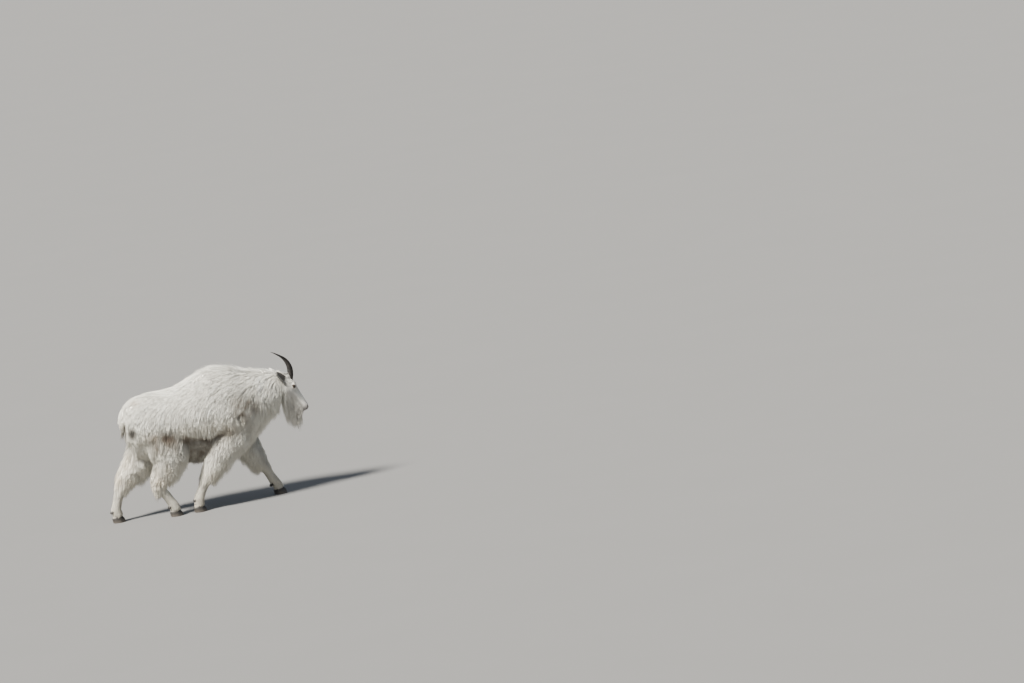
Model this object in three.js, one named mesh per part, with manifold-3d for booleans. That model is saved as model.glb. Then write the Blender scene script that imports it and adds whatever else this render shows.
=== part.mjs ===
// A life-size mountain goat, walking: a still museum model in closed, faceted solids.
// Millimetres. +Z up, the goat faces +X, its left side is +Y, and the floor is the plane Z = 0.
// The origin lies on the floor under the middle of the animal.
// Each form is a surface swept along a spine of stations. A station holds the place of its centre, the
// reach of the flesh towards the back or front (up), towards the belly or rear (down) and to each side
// (half), and the depth of the coat there: above (crest), on the sides (fleece) and below (fringe).
// The solid's core stands half the depth of a long coat off the flesh, and the locks reach out to the tips.
import * as THREE from 'three';
import { mergeVertices } from 'three/addons/utils/BufferGeometryUtils.js';
import Module from 'manifold-3d';

const wasm = await Module();
wasm.setup();
const { Manifold, Mesh } = wasm;

// Driving dimensions
const GAP = 0.3;                 // kept between touching pieces
const SHORT_FUR = 12;            // a coat up to this deep is solid to its tips
const LOCK_SINK = 14;            // depth of a lock's root under the core
const LOCK_SPANS = 3;            // sections along a lock
const LOCK_SWAY = 16;            // sideways swing of the middle of a lock, from one extreme to the other
const EDGE_GROWTH = 8;           // a lock's thin edges grow sideways this much faster than its faces
const HEAD_PITCH = 60;           // degrees of the head's axis below the horizontal
const OCCIPUT = [569, 0, 787];   // start of the head's axis
const FETLOCK_TRACK = 80;        // half the distance between left and right feet
const HOCK = 6.1;                // place of the hock on a hind limb's spine, in stations

// Colours and finishes
const WOOL = { color: 0xe6e0cb, roughness: 0.95, metalness: 0 };
const HORN = { color: 0x17140f, roughness: 0.45, metalness: 0 };
const HOOF = { color: 0x2a2620, roughness: 0.6, metalness: 0 };
const EYE = { color: 0x120c07, roughness: 0.08, metalness: 0 };

const UP = new THREE.Vector3(0, 0, 1);
const LEFT = new THREE.Vector3(0, 1, 0);

// Small helpers

// Seeded random numbers from 0 to 1.
function dice(seed) {
  let a = seed >>> 0;
  return () => {
    a = (a + 0x6d2b79f5) >>> 0;
    let t = a;
    t = Math.imul(t ^ (t >>> 15), t | 1);
    t ^= t + Math.imul(t ^ (t >>> 7), t | 61);
    return ((t ^ (t >>> 14)) >>> 0) / 4294967296;
  };
}

const clamp = (x, lo, hi) => Math.min(hi, Math.max(lo, x));
const mix = (a, b, t) => a + (b - a) * t;

function smooth(lo, hi, x) {
  const t = clamp((x - lo) / (hi - lo), 0, 1);
  return t * t * (3 - 2 * t);
}

// Value of a smooth curve through evenly spaced numbers.
function spline(values, u) {
  const last = values.length - 1;
  const i = clamp(Math.floor(u), 0, last - 1);
  const f = u - i;
  const p1 = values[i];
  const p2 = values[i + 1];
  const p0 = i > 0 ? values[i - 1] : 2 * p1 - p2;
  const p3 = i + 2 <= last ? values[i + 2] : 2 * p2 - p1;
  return 0.5 * (2 * p1 + (p2 - p0) * f + (2 * p0 - 5 * p1 + 4 * p2 - p3) * f * f
    + (3 * p1 - p0 - 3 * p2 + p3) * f * f * f);
}

// Depth of the solid core over the flesh, for a coat of this depth.
function coreDepth(coat) {
  return coat <= SHORT_FUR ? coat : Math.max(SHORT_FUR, coat * 0.5);
}

// A closed solid from points and triangles, turned to face outwards.
function solid(points, triangles) {
  const geometry = new THREE.BufferGeometry();
  geometry.setAttribute('position', new THREE.BufferAttribute(new Float32Array(points), 3));
  geometry.setIndex(triangles);
  const merged = mergeVertices(geometry, 1e-4);
  const p = merged.attributes.position.array;
  const t = new Uint32Array(merged.index.array);
  let volume = 0;
  for (let i = 0; i < t.length; i += 3) {
    const [a, b, c] = [t[i] * 3, t[i + 1] * 3, t[i + 2] * 3];
    volume += p[a] * (p[b + 1] * p[c + 2] - p[b + 2] * p[c + 1])
      + p[a + 1] * (p[b + 2] * p[c] - p[b] * p[c + 2])
      + p[a + 2] * (p[b] * p[c + 1] - p[b + 1] * p[c]);
  }
  if (volume < 0) for (let i = 0; i < t.length; i += 3) [t[i + 1], t[i + 2]] = [t[i + 2], t[i + 1]];
  return new Manifold(new Mesh({ numProp: 3, vertProperties: p, triVerts: t }));
}

// A closed solid through rings of points, with a point at each end. A ring is a list of Vector3.
function skinned(rings, first, last) {
  const sides = rings[0].length;
  const points = [];
  const push = (p) => points.push(p.x, p.y, p.z);
  rings.forEach((ring) => ring.forEach(push));
  push(first);
  push(last);
  const start = rings.length * sides;
  const triangles = [];
  for (let j = 0; j < sides; j++) {
    const k = (j + 1) % sides;
    for (let i = 0; i + 1 < rings.length; i++) {
      const a = i * sides;
      const b = a + sides;
      triangles.push(a + j, b + j, b + k, a + j, b + k, a + k);
    }
    const end = (rings.length - 1) * sides;
    triangles.push(start, j, k, start + 1, end + k, end + j);
  }
  return solid(points, triangles);
}

// A form swept along a spine. Its surface point at (u, v): u counts stations, v goes once round, from the
// back or front (0) over the left side (0.25) and the belly or rear (0.5) to the right side (0.75).
class Form {
  constructor(stations, { ridge = 1, keel = 1, axis = null, firm = 0 } = {}) {
    this.last = stations.length - 1;
    this.ridge = ridge;
    this.keel = keel;
    this.axis = axis && new THREE.Vector3(...axis).normalize();
    this.firm = firm;
    this.tracks = {};
    for (const key of Object.keys(stations[0])) this.tracks[key] = stations.map((s) => s[key]);
  }

  get(key, u) {
    return spline(this.tracks[key], u);
  }

  centre(u) {
    return new THREE.Vector3(this.get('x', u), this.get('y', u), this.get('z', u));
  }

  // Direction along the spine, the side direction and the direction of the back or front. A firm form's
  // sections turn less than its spine does, so that they never cross at a bend.
  frame(u) {
    const step = 0.02;
    const before = this.centre(Math.max(0, u - step));
    const along = this.centre(Math.min(this.last, u + step)).sub(before).normalize();
    if (this.axis) along.lerp(this.axis, this.firm).normalize();
    const front = along.clone().cross(LEFT).normalize();
    const side = front.clone().cross(along).normalize();
    return { along, front, side };
  }

  // Depth of the coat at (u, v).
  coat(u, v) {
    const c = Math.cos(v * 2 * Math.PI);
    const side = this.get('fleece', u);
    return mix(side, c > 0 ? this.get('crest', u) : this.get('fringe', u), c * c);
  }

  // The flesh surface grown outwards by a distance.
  fleshPoint(u, v, extra) {
    const angle = v * 2 * Math.PI;
    const c = Math.cos(angle);
    const s = Math.sin(angle);
    const { front, side } = this.frame(u);
    const reach = (c > 0 ? this.get('up', u) : this.get('down', u)) + extra;
    const width = (this.get('half', u) + extra) * Math.sign(s)
      * Math.abs(s) ** (c > 0 ? this.ridge : this.keel);
    return this.centre(u).addScaledVector(front, reach * c).addScaledVector(side, width);
  }

  // The core's surface.
  point(u, v, grow = 0) {
    return this.fleshPoint(u, v, coreDepth(this.coat(u, v)) + grow);
  }

  // Normal of the core's surface, pointing out.
  normal(u, v) {
    const e = 0.01;
    const { du, dv } = this.slopes(u, v, e);
    const n = du.clone().cross(dv).normalize();
    const out = this.point(u, v).sub(this.centre(u));
    return n.dot(out) < 0 ? n.negate() : n;
  }

  slopes(u, v, e = 0.01) {
    const lo = Math.max(0, u - e);
    const hi = Math.min(this.last, u + e);
    const du = this.point(hi, v).sub(this.point(lo, v)).divideScalar(hi - lo);
    const dv = this.point(u, v + e).sub(this.point(u, v - e)).divideScalar(2 * e);
    return { du, dv };
  }

  // The place reached from (u, v) by a step along the surface.
  move(u, v, direction, step) {
    const { du, dv } = this.slopes(u, v);
    const a = du.dot(du);
    const b = du.dot(dv);
    const c = dv.dot(dv);
    const f = direction.dot(du) * step;
    const g = direction.dot(dv) * step;
    const det = a * c - b * b;
    return [clamp(u + (f * c - g * b) / det, 0, this.last), v + (g * a - f * b) / det];
  }

  // The core as a closed solid, over the whole spine or a stretch of it.
  core(rings, sides, grow = 0, from = 0, to = this.last) {
    const loops = [];
    for (let i = 0; i <= rings; i++) {
      const u = mix(from, to, i / rings);
      loops.push(Array.from({ length: sides }, (_, j) => this.point(u, j / sides, grow)));
    }
    const ends = [from, to].map((u) => {
      const bulge = coreDepth(this.coat(u, 0.25)) * 0.6 + grow;
      return this.centre(u).addScaledVector(this.frame(u).along, u === from ? -bulge : bulge);
    });
    return skinned(loops, ends[0], ends[1]);
  }
}

// A flat, tapered lock of the coat. It starts sunk in the form at (u, v), follows the surface along its
// lie, rises to the tips of the coat, and hangs free where the surface turns under or where it drapes.
// Its sections are wedges with a ridge outside. flow gives the lie at a surface point. grow makes every
// side fatter by that distance.
function lock(form, u, v, flow, size, roll, grow = 0) {
  const { length, width, thick = 14, drape = 0 } = size;
  const step = length / LOCK_SPANS;
  const swing = (roll() - 0.5) * LOCK_SWAY;
  const phase = roll() * Math.PI * 2;
  const rings = [];
  let normal = form.normal(u, v);
  let place = form.point(u, v);
  let middle = place.clone().addScaledVector(normal, -LOCK_SINK);
  const root = middle.clone().addScaledVector(normal, -3 - grow);
  let heading = null;
  let hanging = 0;
  for (let k = 0; k < LOCK_SPANS; k++) {
    const t = k / LOCK_SPANS;
    const lie = flow(place, normal);
    lie.addScaledVector(normal, -lie.dot(normal)).normalize();
    const along = (heading ?? lie).clone().lerp(lie, 0.4 * (1 - hanging)).normalize();
    const side = normal.clone().cross(along).normalize();
    const out = along.clone().cross(side).normalize();
    const half = 0.5 * width * (0.7 + 0.85 * t - 1.3 * t * t) + EDGE_GROWTH * grow;
    const bulk = 0.5 * thick * (1 - 0.5 * t) + grow;
    const bend = side.clone().multiplyScalar(swing * Math.sin(phase + 3 * t) * t);
    const edges = [half, -half].map((reach) => {
      const [ue, ve] = form.move(u, v, side.clone().multiplyScalar(Math.sign(reach)), Math.abs(reach));
      const hugging = form.point(ue, ve).addScaledVector(form.normal(ue, ve), -bulk)
        .addScaledVector(out, 0.45 * Math.max(0, middle.clone().sub(place).dot(normal)));
      const straight = middle.clone().addScaledVector(side, reach).addScaledVector(out, -bulk);
      return hugging.lerp(straight, Math.max(hanging, smooth(0.6, 1, t))).add(bend);
    });
    rings.push([middle.clone().addScaledVector(out, bulk).add(bend), ...edges]);

    // On to the next section.
    const next = (k + 1) / LOCK_SPANS;
    [u, v] = form.move(u, v, lie, step);
    normal = form.normal(u, v);
    place = form.point(u, v);
    const depth = form.coat(u, v) - coreDepth(form.coat(u, v));
    const clinging = place.clone().addScaledVector(normal, mix(-LOCK_SINK, depth, smooth(-0.2, 0.55, next)));
    const overhang = smooth(0.25, -0.45, normal.z) * smooth(0, 0.3, next);
    hanging = Math.max(hanging, overhang, drape * smooth(0, 0.5, next));
    const free = (heading ?? lie).clone().lerp(UP.clone().negate(), 0.5).normalize();
    const p = clinging.lerp(middle.clone().addScaledVector(free, step), hanging);
    heading = p.clone().sub(middle).normalize();
    middle = p;
  }
  const tip = middle.clone().addScaledVector(heading, grow * 3);
  return skinned(rings, root, tip);
}

// Forms of the body

const TORSO = new Form([
  { x: -522, y: 0, z: 645, up: 86, down: 100, half: 58, crest: 40, fleece: 42, fringe: 45 },
  { x: -496, y: 0, z: 648, up: 120, down: 138, half: 102, crest: 40, fleece: 42, fringe: 45 },
  { x: -434, y: 0, z: 648, up: 138, down: 168, half: 134, crest: 42, fleece: 44, fringe: 45 },
  { x: -335, y: 0, z: 636, up: 166, down: 185, half: 150, crest: 40, fleece: 48, fringe: 50 },
  { x: -195, y: 0, z: 620, up: 182, down: 192, half: 150, crest: 44, fleece: 52, fringe: 60 },
  { x: -60, y: 0, z: 616, up: 206, down: 214, half: 156, crest: 72, fleece: 52, fringe: 66 },
  { x: 80, y: 0, z: 620, up: 232, down: 224, half: 156, crest: 96, fleece: 50, fringe: 66 },
  { x: 190, y: 0, z: 628, up: 222, down: 218, half: 146, crest: 84, fleece: 48, fringe: 66 },
  { x: 282, y: 0, z: 640, up: 188, down: 196, half: 122, crest: 78, fleece: 46, fringe: 60 },
  { x: 345, y: 0, z: 640, up: 128, down: 142, half: 84, crest: 60, fleece: 44, fringe: 55 },
  { x: 374, y: 0, z: 636, up: 50, down: 60, half: 36, crest: 40, fleece: 40, fringe: 45 },
], { ridge: 1.25, keel: 0.85, axis: [1, 0, 0], firm: 1 });

const NECK = new Form([
  { x: 215, y: 0, z: 655, up: 175, down: 195, half: 118, crest: 82, fleece: 44, fringe: 55 },
  { x: 300, y: 0, z: 676, up: 146, down: 160, half: 102, crest: 88, fleece: 46, fringe: 58 },
  { x: 380, y: 0, z: 698, up: 108, down: 126, half: 86, crest: 86, fleece: 46, fringe: 60 },
  { x: 455, y: 0, z: 718, up: 80, down: 96, half: 72, crest: 76, fleece: 42, fringe: 55 },
  { x: 522, y: 0, z: 738, up: 56, down: 60, half: 58, crest: 66, fleece: 36, fringe: 45 },
  { x: 575, y: 0, z: 762, up: 36, down: 40, half: 44, crest: 50, fleece: 24, fringe: 24 },
], { ridge: 1.2, keel: 0.95, axis: [0.95, 0, 0.3], firm: 0.7 });

// Unit directions of the head: along its axis towards the nose, and up towards the forehead.
const PITCH = HEAD_PITCH * Math.PI / 180;
const NOSEWARD = new THREE.Vector3(Math.cos(PITCH), 0, -Math.sin(PITCH));
const BROWWARD = new THREE.Vector3(Math.sin(PITCH), 0, Math.cos(PITCH));

// A point of the head: distance along its axis, height above it, distance to the left.
function headPoint(along, above, left = 0) {
  return new THREE.Vector3(...OCCIPUT).addScaledVector(NOSEWARD, along).addScaledVector(BROWWARD, above)
    .addScaledVector(LEFT, left);
}

function headStation(along, above, up, down, half, crest, fleece, fringe) {
  const { x, y, z } = headPoint(along, above);
  return { x, y, z, up, down, half, crest, fleece, fringe };
}

const HEAD = new Form([
  headStation(-26, -30, 16, 18, 16, 8, 8, 8),
  headStation(-10, -28, 38, 38, 40, 26, 12, 10),
  headStation(20, -22, 54, 60, 55, 30, 12, 11),
  headStation(55, -18, 58, 68, 61, 10, 11, 11),
  headStation(90, -14, 53, 62, 60, 6, 8, 10),
  headStation(130, -10, 43, 52, 48, 5, 7, 9),
  headStation(170, -7, 36, 43, 38, 4, 5, 8),
  headStation(210, -5, 31, 37, 33, 3, 4, 6),
  headStation(244, -5, 28, 34, 33, 2, 3, 4),
  headStation(264, -6, 22, 27, 27, 2, 2, 3),
  headStation(274, -7, 11, 14, 14, 1, 1, 2),
], { ridge: 0.9, keel: 0.95 });

// The beard hangs from the lower jaw, from the throat to the chin. Its core ends half way down to the tips.
const BEARD = new Form([
  { x: 528, y: 0, z: 690, up: 16, down: 16, half: 22, crest: 14, fleece: 16, fringe: 14 },
  { x: 550, y: 0, z: 645, up: 26, down: 30, half: 26, crest: 14, fleece: 16, fringe: 18 },
  { x: 572, y: 0, z: 600, up: 42, down: 46, half: 26, crest: 16, fleece: 18, fringe: 20 },
  { x: 586, y: 0, z: 562, up: 54, down: 54, half: 20, crest: 18, fleece: 18, fringe: 20 },
  { x: 588, y: 0, z: 534, up: 46, down: 44, half: 11, crest: 16, fleece: 16, fringe: 18 },
  { x: 586, y: 0, z: 512, up: 24, down: 24, half: 4, crest: 13, fleece: 13, fringe: 13 },
], { axis: [0, 0, -1], firm: 1 });

const TAIL = new Form([
  { x: -480, y: 0, z: 752, up: 22, down: 20, half: 26, crest: 14, fleece: 14, fringe: 14 },
  { x: -520, y: 0, z: 750, up: 22, down: 18, half: 24, crest: 16, fleece: 16, fringe: 14 },
  { x: -548, y: 0, z: 720, up: 18, down: 14, half: 20, crest: 18, fleece: 18, fringe: 12 },
  { x: -561, y: 0, z: 678, up: 13, down: 10, half: 15, crest: 18, fleece: 18, fringe: 12 },
  { x: -564, y: 0, z: 640, up: 6, down: 5, half: 7, crest: 12, fleece: 12, fringe: 10 },
], {});

// A leg's stations from the top down: x, distance from the middle, z, then the reach to the front, to the
// rear and to each side, and the depth of the coat in front, at the sides and behind.
function legForm(side, rows) {
  const stations = rows.map(([x, out, z, up, down, half, crest, fleece, fringe]) => (
    { x, y: side * out, z, up, down, half, crest, fleece, fringe }));
  return new Form(stations, { ridge: 0.95, keel: 0.95, axis: [0, 0, -1], firm: 0.5 });
}

const LEGS = {
  front_right: {
    side: -1,
    drape: [0.9, 0.2],
    toe: -86,
    form: legForm(-1, [
      [200, 82, 520, 92, 92, 50, 34, 34, 36],
      [152, 92, 455, 78, 84, 52, 38, 40, 44],
      [100, 96, 402, 60, 70, 47, 42, 44, 52],
      [48, 92, 342, 46, 52, 40, 42, 44, 56],
      [-6, 88, 282, 37, 39, 34, 36, 40, 50],
      [-50, 84, 228, 32, 31, 31, 24, 26, 32],
      [-76, 81, 184, 24, 25, 24, 11, 11, 12],
      [-103, 80, 136, 21, 23, 22, 9, 9, 10],
      [-127, 80, 90, 25, 27, 26, 8, 8, 10],
      [-131, 80, 62, 24, 23, 27, 6, 6, 8],
      [-128, 80, 45, 20, 18, 24, 3, 3, 4],
    ]),
  },
  front_left: {
    side: 1,
    drape: [0.1, 1],
    toe: 506,
    form: legForm(1, [
      [232, 82, 520, 92, 92, 50, 34, 34, 36],
      [252, 92, 455, 78, 84, 52, 38, 40, 44],
      [276, 96, 400, 60, 70, 47, 42, 44, 52],
      [303, 92, 340, 46, 52, 40, 42, 44, 56],
      [333, 88, 282, 37, 39, 34, 36, 40, 50],
      [362, 84, 228, 32, 31, 31, 24, 26, 32],
      [385, 81, 182, 24, 25, 24, 11, 11, 12],
      [410, 80, 136, 21, 23, 22, 9, 9, 10],
      [434, 80, 90, 25, 27, 26, 8, 8, 10],
      [450, 80, 62, 24, 23, 27, 6, 6, 8],
      [458, 80, 45, 20, 18, 24, 3, 3, 4],
    ]),
  },
  hind_right: {
    side: -1,
    drape: [0.7, 0.5],
    toe: -250,
    form: legForm(-1, [
      [-335, 84, 590, 112, 118, 56, 36, 36, 38],
      [-296, 94, 515, 108, 122, 60, 40, 42, 46],
      [-266, 100, 448, 90, 114, 59, 42, 46, 52],
      [-276, 98, 386, 68, 92, 53, 42, 46, 56],
      [-322, 92, 324, 46, 60, 43, 38, 42, 54],
      [-376, 86, 272, 33, 40, 33, 26, 30, 40],
      [-386, 82, 232, 29, 31, 28, 14, 16, 26],
      [-354, 81, 168, 21, 24, 22, 10, 10, 14],
      [-324, 80, 112, 21, 22, 22, 9, 9, 11],
      [-308, 80, 84, 25, 27, 26, 8, 8, 10],
      [-298, 80, 60, 24, 23, 27, 6, 6, 8],
      [-292, 80, 45, 20, 18, 24, 3, 3, 4],
    ]),
  },
  hind_left: {
    side: 1,
    drape: [1, 0.3],
    toe: -614,
    form: legForm(1, [
      [-372, 84, 590, 112, 112, 56, 36, 36, 38],
      [-378, 94, 515, 104, 112, 60, 40, 42, 46],
      [-396, 100, 446, 86, 104, 59, 42, 46, 52],
      [-446, 98, 384, 66, 84, 52, 42, 46, 56],
      [-514, 92, 332, 46, 56, 42, 38, 42, 54],
      [-576, 86, 292, 33, 40, 33, 30, 32, 40],
      [-602, 82, 252, 29, 31, 28, 18, 20, 28],
      [-632, 81, 182, 21, 24, 22, 11, 11, 16],
      [-657, 80, 118, 21, 22, 22, 9, 9, 11],
      [-667, 80, 86, 25, 27, 26, 8, 8, 10],
      [-662, 80, 60, 24, 23, 27, 6, 6, 8],
      [-656, 80, 45, 20, 18, 24, 3, 3, 4],
    ]),
  },
};

// Horns, ears and eyes

const HORN_BASE_RADIUS = 15.5;
const HORN_SPREAD = [21, 24, 29, 35, 42, 49, 55];

// A horn: an arc of shrinking rings, with yearly grooves near its base.
function horn(side) {
  const line = [[606, 742], [625, 792], [628, 842], [614, 886], [588, 920], [555, 944], [524, 962]];
  const xs = line.map((p) => p[0]);
  const zs = line.map((p) => p[1]);
  const rings = 17;
  const sides = 9;
  const last = line.length - 1;
  const at = (u) => new THREE.Vector3(spline(xs, u), side * spline(HORN_SPREAD, u), spline(zs, u));
  const loops = [];
  for (let i = 0; i <= rings; i++) {
    const t = i / rings * 0.985;
    const u = t * last;
    const along = at(Math.min(last, u + 0.02)).sub(at(Math.max(0, u - 0.02))).normalize();
    const out = LEFT.clone().addScaledVector(along, -along.dot(LEFT)).normalize();
    const front = along.clone().cross(out);
    const groove = i % 2 ? 1.2 * smooth(0.62, 0.2, t) : 0;
    const radius = HORN_BASE_RADIUS * (1 - 0.86 * t ** 1.35) - groove;
    loops.push(Array.from({ length: sides }, (_, j) => {
      const angle = j / sides * 2 * Math.PI;
      return at(u).addScaledVector(front, 1.1 * radius * Math.cos(angle))
        .addScaledVector(out, 0.92 * radius * Math.sin(angle));
    }));
  }
  return skinned(loops, at(0), at(last));
}

const EAR_LENGTH = 126;
const EAR_WIDTH = 44;
const EAR_WALL = 5;

// An ear: a pointed leaf, folded into a cup whose mouth faces forwards and out.
function ear(side) {
  const root = headPoint(24, -2, side * 46);
  const tip = new THREE.Vector3(502, side * 118, 862);
  const along = tip.clone().sub(root).normalize();
  const mouth = new THREE.Vector3(0.75, side * 0.62, 0.1);
  mouth.addScaledVector(along, -mouth.dot(along)).normalize();
  const across = along.clone().cross(mouth).normalize();
  const rows = 7;
  const columns = 6;
  // Point on the leaf: s from root to tip, w across from -1 to 1, wall out of the cup's back.
  const at = (s, w, wall) => {
    const breadth = 0.5 * EAR_WIDTH * (Math.sin(Math.PI * (0.14 + 0.86 * s) ** 0.75) ** 0.8 + 0.03);
    const fold = mix(1.35, 0.65, s);
    const angle = w * fold;
    const radius = breadth / Math.sin(Math.min(fold, 1.35));
    return root.clone().addScaledVector(along, mix(-26, EAR_LENGTH, s))
      .addScaledVector(across, (radius + wall) * Math.sin(angle))
      .addScaledVector(mouth, radius * (1 - Math.cos(angle)) - wall * Math.cos(angle) - 0.3 * radius);
  };
  const loops = [];
  for (let i = 0; i <= rows; i++) {
    const s = i / rows * 0.97;
    const outer = Array.from({ length: columns + 1 }, (_, j) => at(s, -1 + 2 * j / columns, EAR_WALL));
    const inner = Array.from({ length: columns + 1 }, (_, j) => at(s, 1 - 2 * j / columns, 0));
    loops.push([...outer, ...inner]);
  }
  const middle = (s) => at(s, 0, EAR_WALL * 0.5);
  return skinned(loops, middle(0), middle(1).addScaledVector(along, 3));
}

const EYE_RADIUS = 16;
const EYE_PLACE = [84, 14, 49];

// Ball of a few rows, centred at a point.
function ball(centre, radius, rows, sides) {
  const geometry = new THREE.SphereGeometry(radius, sides, rows);
  geometry.translate(centre.x, centre.y, centre.z);
  geometry.deleteAttribute('normal');
  geometry.deleteAttribute('uv');
  const merged = mergeVertices(geometry, 1e-3);
  return solid(Array.from(merged.attributes.position.array), Array.from(merged.index.array));
}

function eye(side, grow = 0) {
  return ball(headPoint(EYE_PLACE[0], EYE_PLACE[1], side * EYE_PLACE[2]), EYE_RADIUS + grow, 8, 12);
}

// A lid: a tapered roll along the upper or lower edge of the eye's opening.
function lid(side, upper) {
  const centre = headPoint(EYE_PLACE[0], EYE_PLACE[1], side * EYE_PLACE[2]);
  const outward = new THREE.Vector3(0.3, side, -0.05).normalize();
  const slant = NOSEWARD.clone().lerp(BROWWARD, 0.35);
  const lengthwise = slant.addScaledVector(outward, -slant.dot(outward)).normalize();
  const rising = outward.clone().cross(lengthwise).normalize();
  if (rising.dot(BROWWARD) < 0) rising.negate();
  const rings = 6;
  const loops = [];
  for (let i = 0; i <= rings; i++) {
    const a = mix(-1.25, 1.25, i / rings);
    const tilt = (upper ? 0.74 : -0.74) * Math.cos(a);
    const radius = (upper ? 4.8 : 3.6) * (0.35 + 0.65 * Math.cos(a));
    const ray = outward.clone().multiplyScalar(Math.cos(a) * Math.cos(tilt))
      .addScaledVector(lengthwise, Math.sin(a)).addScaledVector(rising, Math.sin(tilt)).normalize();
    const spot = centre.clone().addScaledVector(ray, EYE_RADIUS - 0.5);
    const across = rising.clone().addScaledVector(ray, -rising.dot(ray)).normalize();
    loops.push(Array.from({ length: 6 }, (_, j) => {
      const angle = j / 6 * 2 * Math.PI;
      return spot.clone().addScaledVector(ray, radius * Math.cos(angle))
        .addScaledVector(across, radius * Math.sin(angle));
    }));
  }
  const end = (i) => loops[i].reduce((sum, p) => sum.add(p), new THREE.Vector3()).divideScalar(6);
  return skinned(loops, end(0), end(rings));
}

// A tapered rod through points, for cutting grooves and nostrils.
function rod(points, radii, sides = 6) {
  const loops = points.map((p, i) => {
    const next = points[Math.min(points.length - 1, i + 1)];
    const along = next.clone().sub(points[Math.max(0, i - 1)]).normalize();
    const out = Math.abs(along.y) < 0.9 ? LEFT.clone() : UP.clone();
    out.addScaledVector(along, -along.dot(out)).normalize();
    const other = along.clone().cross(out);
    return Array.from({ length: sides }, (_, j) => {
      const angle = j / sides * 2 * Math.PI;
      return p.clone().addScaledVector(out, radii[i] * Math.cos(angle))
        .addScaledVector(other, radii[i] * Math.sin(angle));
    });
  });
  return skinned(loops, points[0], points[points.length - 1]);
}

// The mouth's line: a shallow groove round the front of the muzzle, back to the corners of the lips.
function mouthLine() {
  const reach = [[196, -24, 37.5], [222, -25, 34.6], [246, -25, 33.6], [262, -24, 27], [271, -24, 14]];
  const left = reach.map(([a, b, c]) => headPoint(a, b, c));
  const right = reach.map(([a, b, c]) => headPoint(a, b, -c)).reverse();
  const radii = [1.2, 2.4, 2.6, 2.6, 2.6];
  return rod([...left, headPoint(275, -24, 0), ...right], [...radii, 2.6, ...[...radii].reverse()]);
}

// A nostril: a slanting, comma-shaped pit at the front of the muzzle.
function nostril(side) {
  return rod([
    headPoint(250, 17, side * 29),
    headPoint(259, 12, side * 25),
    headPoint(266, 6, side * 19),
    headPoint(272, 0, side * 15),
  ], [2, 5.5, 5.5, 3], 8);
}

// The nose pad stands a little proud of the muzzle, between the nostrils and over the upper lip.
function nosePad() {
  return rod([
    headPoint(256, 13, -13),
    headPoint(264, 9, -9),
    headPoint(268, 2, 0),
    headPoint(264, 9, 9),
    headPoint(256, 13, 13),
  ], [5, 7.5, 10, 7.5, 5], 8);
}

function chin() {
  return rod([headPoint(238, -30, 0), headPoint(258, -32, 0), headPoint(267, -31, 0)], [14, 13, 8], 10);
}

// Hooves

const SOLE_LENGTH = 84;
const CLAW_WIDTH = 33;
const CLAW_HEIGHT = 46;
const CLEFT = 3;

// One claw of a cloven hoof: a curved wedge that stands flat on the floor and narrows to the coronet.
function claw(leg, inner) {
  const away = leg.side * (inner ? -1 : 1);
  const levels = [[0, 1, 0], [30, 0.93, -5], [CLAW_HEIGHT, 0.8, -12], [CLAW_HEIGHT + 8, 0.55, -14]];
  const sides = 10;
  const rings = levels.map(([z, scale, back]) => Array.from({ length: sides }, (_, j) => {
    const angle = j / sides * 2 * Math.PI;
    const along = Math.cos(angle);
    const across = Math.sin(angle);
    const pointed = 1 - 0.42 * smooth(0.1, 1, along);
    const outer = across > 0 ? CLAW_WIDTH * 0.82 : CLAW_WIDTH * 0.18;
    const x = leg.toe - SOLE_LENGTH * 0.5 + SOLE_LENGTH * 0.5 * scale * along + back;
    const y = CLEFT + CLAW_WIDTH * 0.18 + outer * across * pointed * scale;
    return new THREE.Vector3(x, leg.side * FETLOCK_TRACK + away * y, z);
  }));
  const centre = (k) => rings[k].reduce((sum, p) => sum.add(p), new THREE.Vector3()).divideScalar(sides);
  return skinned(rings, centre(0), centre(levels.length - 1));
}

// A dewclaw: a blunt cone behind the pastern.
function dewclaw(leg, inner) {
  const { form } = leg;
  const u = form.last - 1.9;
  const { front } = form.frame(u);
  const root = form.centre(u).addScaledVector(front, -form.get('down', u) * 0.55);
  root.y += leg.side * (inner ? -1 : 1) * 13;
  const tip = root.clone().addScaledVector(front, -32).add(new THREE.Vector3(0, 0, -9));
  const waist = root.clone().lerp(tip, 0.7);
  return rod([root, waist, tip], [9, 7.5, 3], 5);
}

// Lie of the coat: mostly down, swept to the rear.
function bodyLie(place, normal) {
  const top = smooth(0.65, 1, normal.z);
  return new THREE.Vector3(-0.4 - 0.5 * top, 0.5 * normal.y, -1 + 0.5 * top);
}

const downLie = () => new THREE.Vector3(-0.12, 0, -1);

function legLie(leg) {
  const along = leg.form.frame(3).along.clone().lerp(new THREE.Vector3(-0.1, 0, -1), 0.5).normalize();
  return () => along.clone();
}

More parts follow.
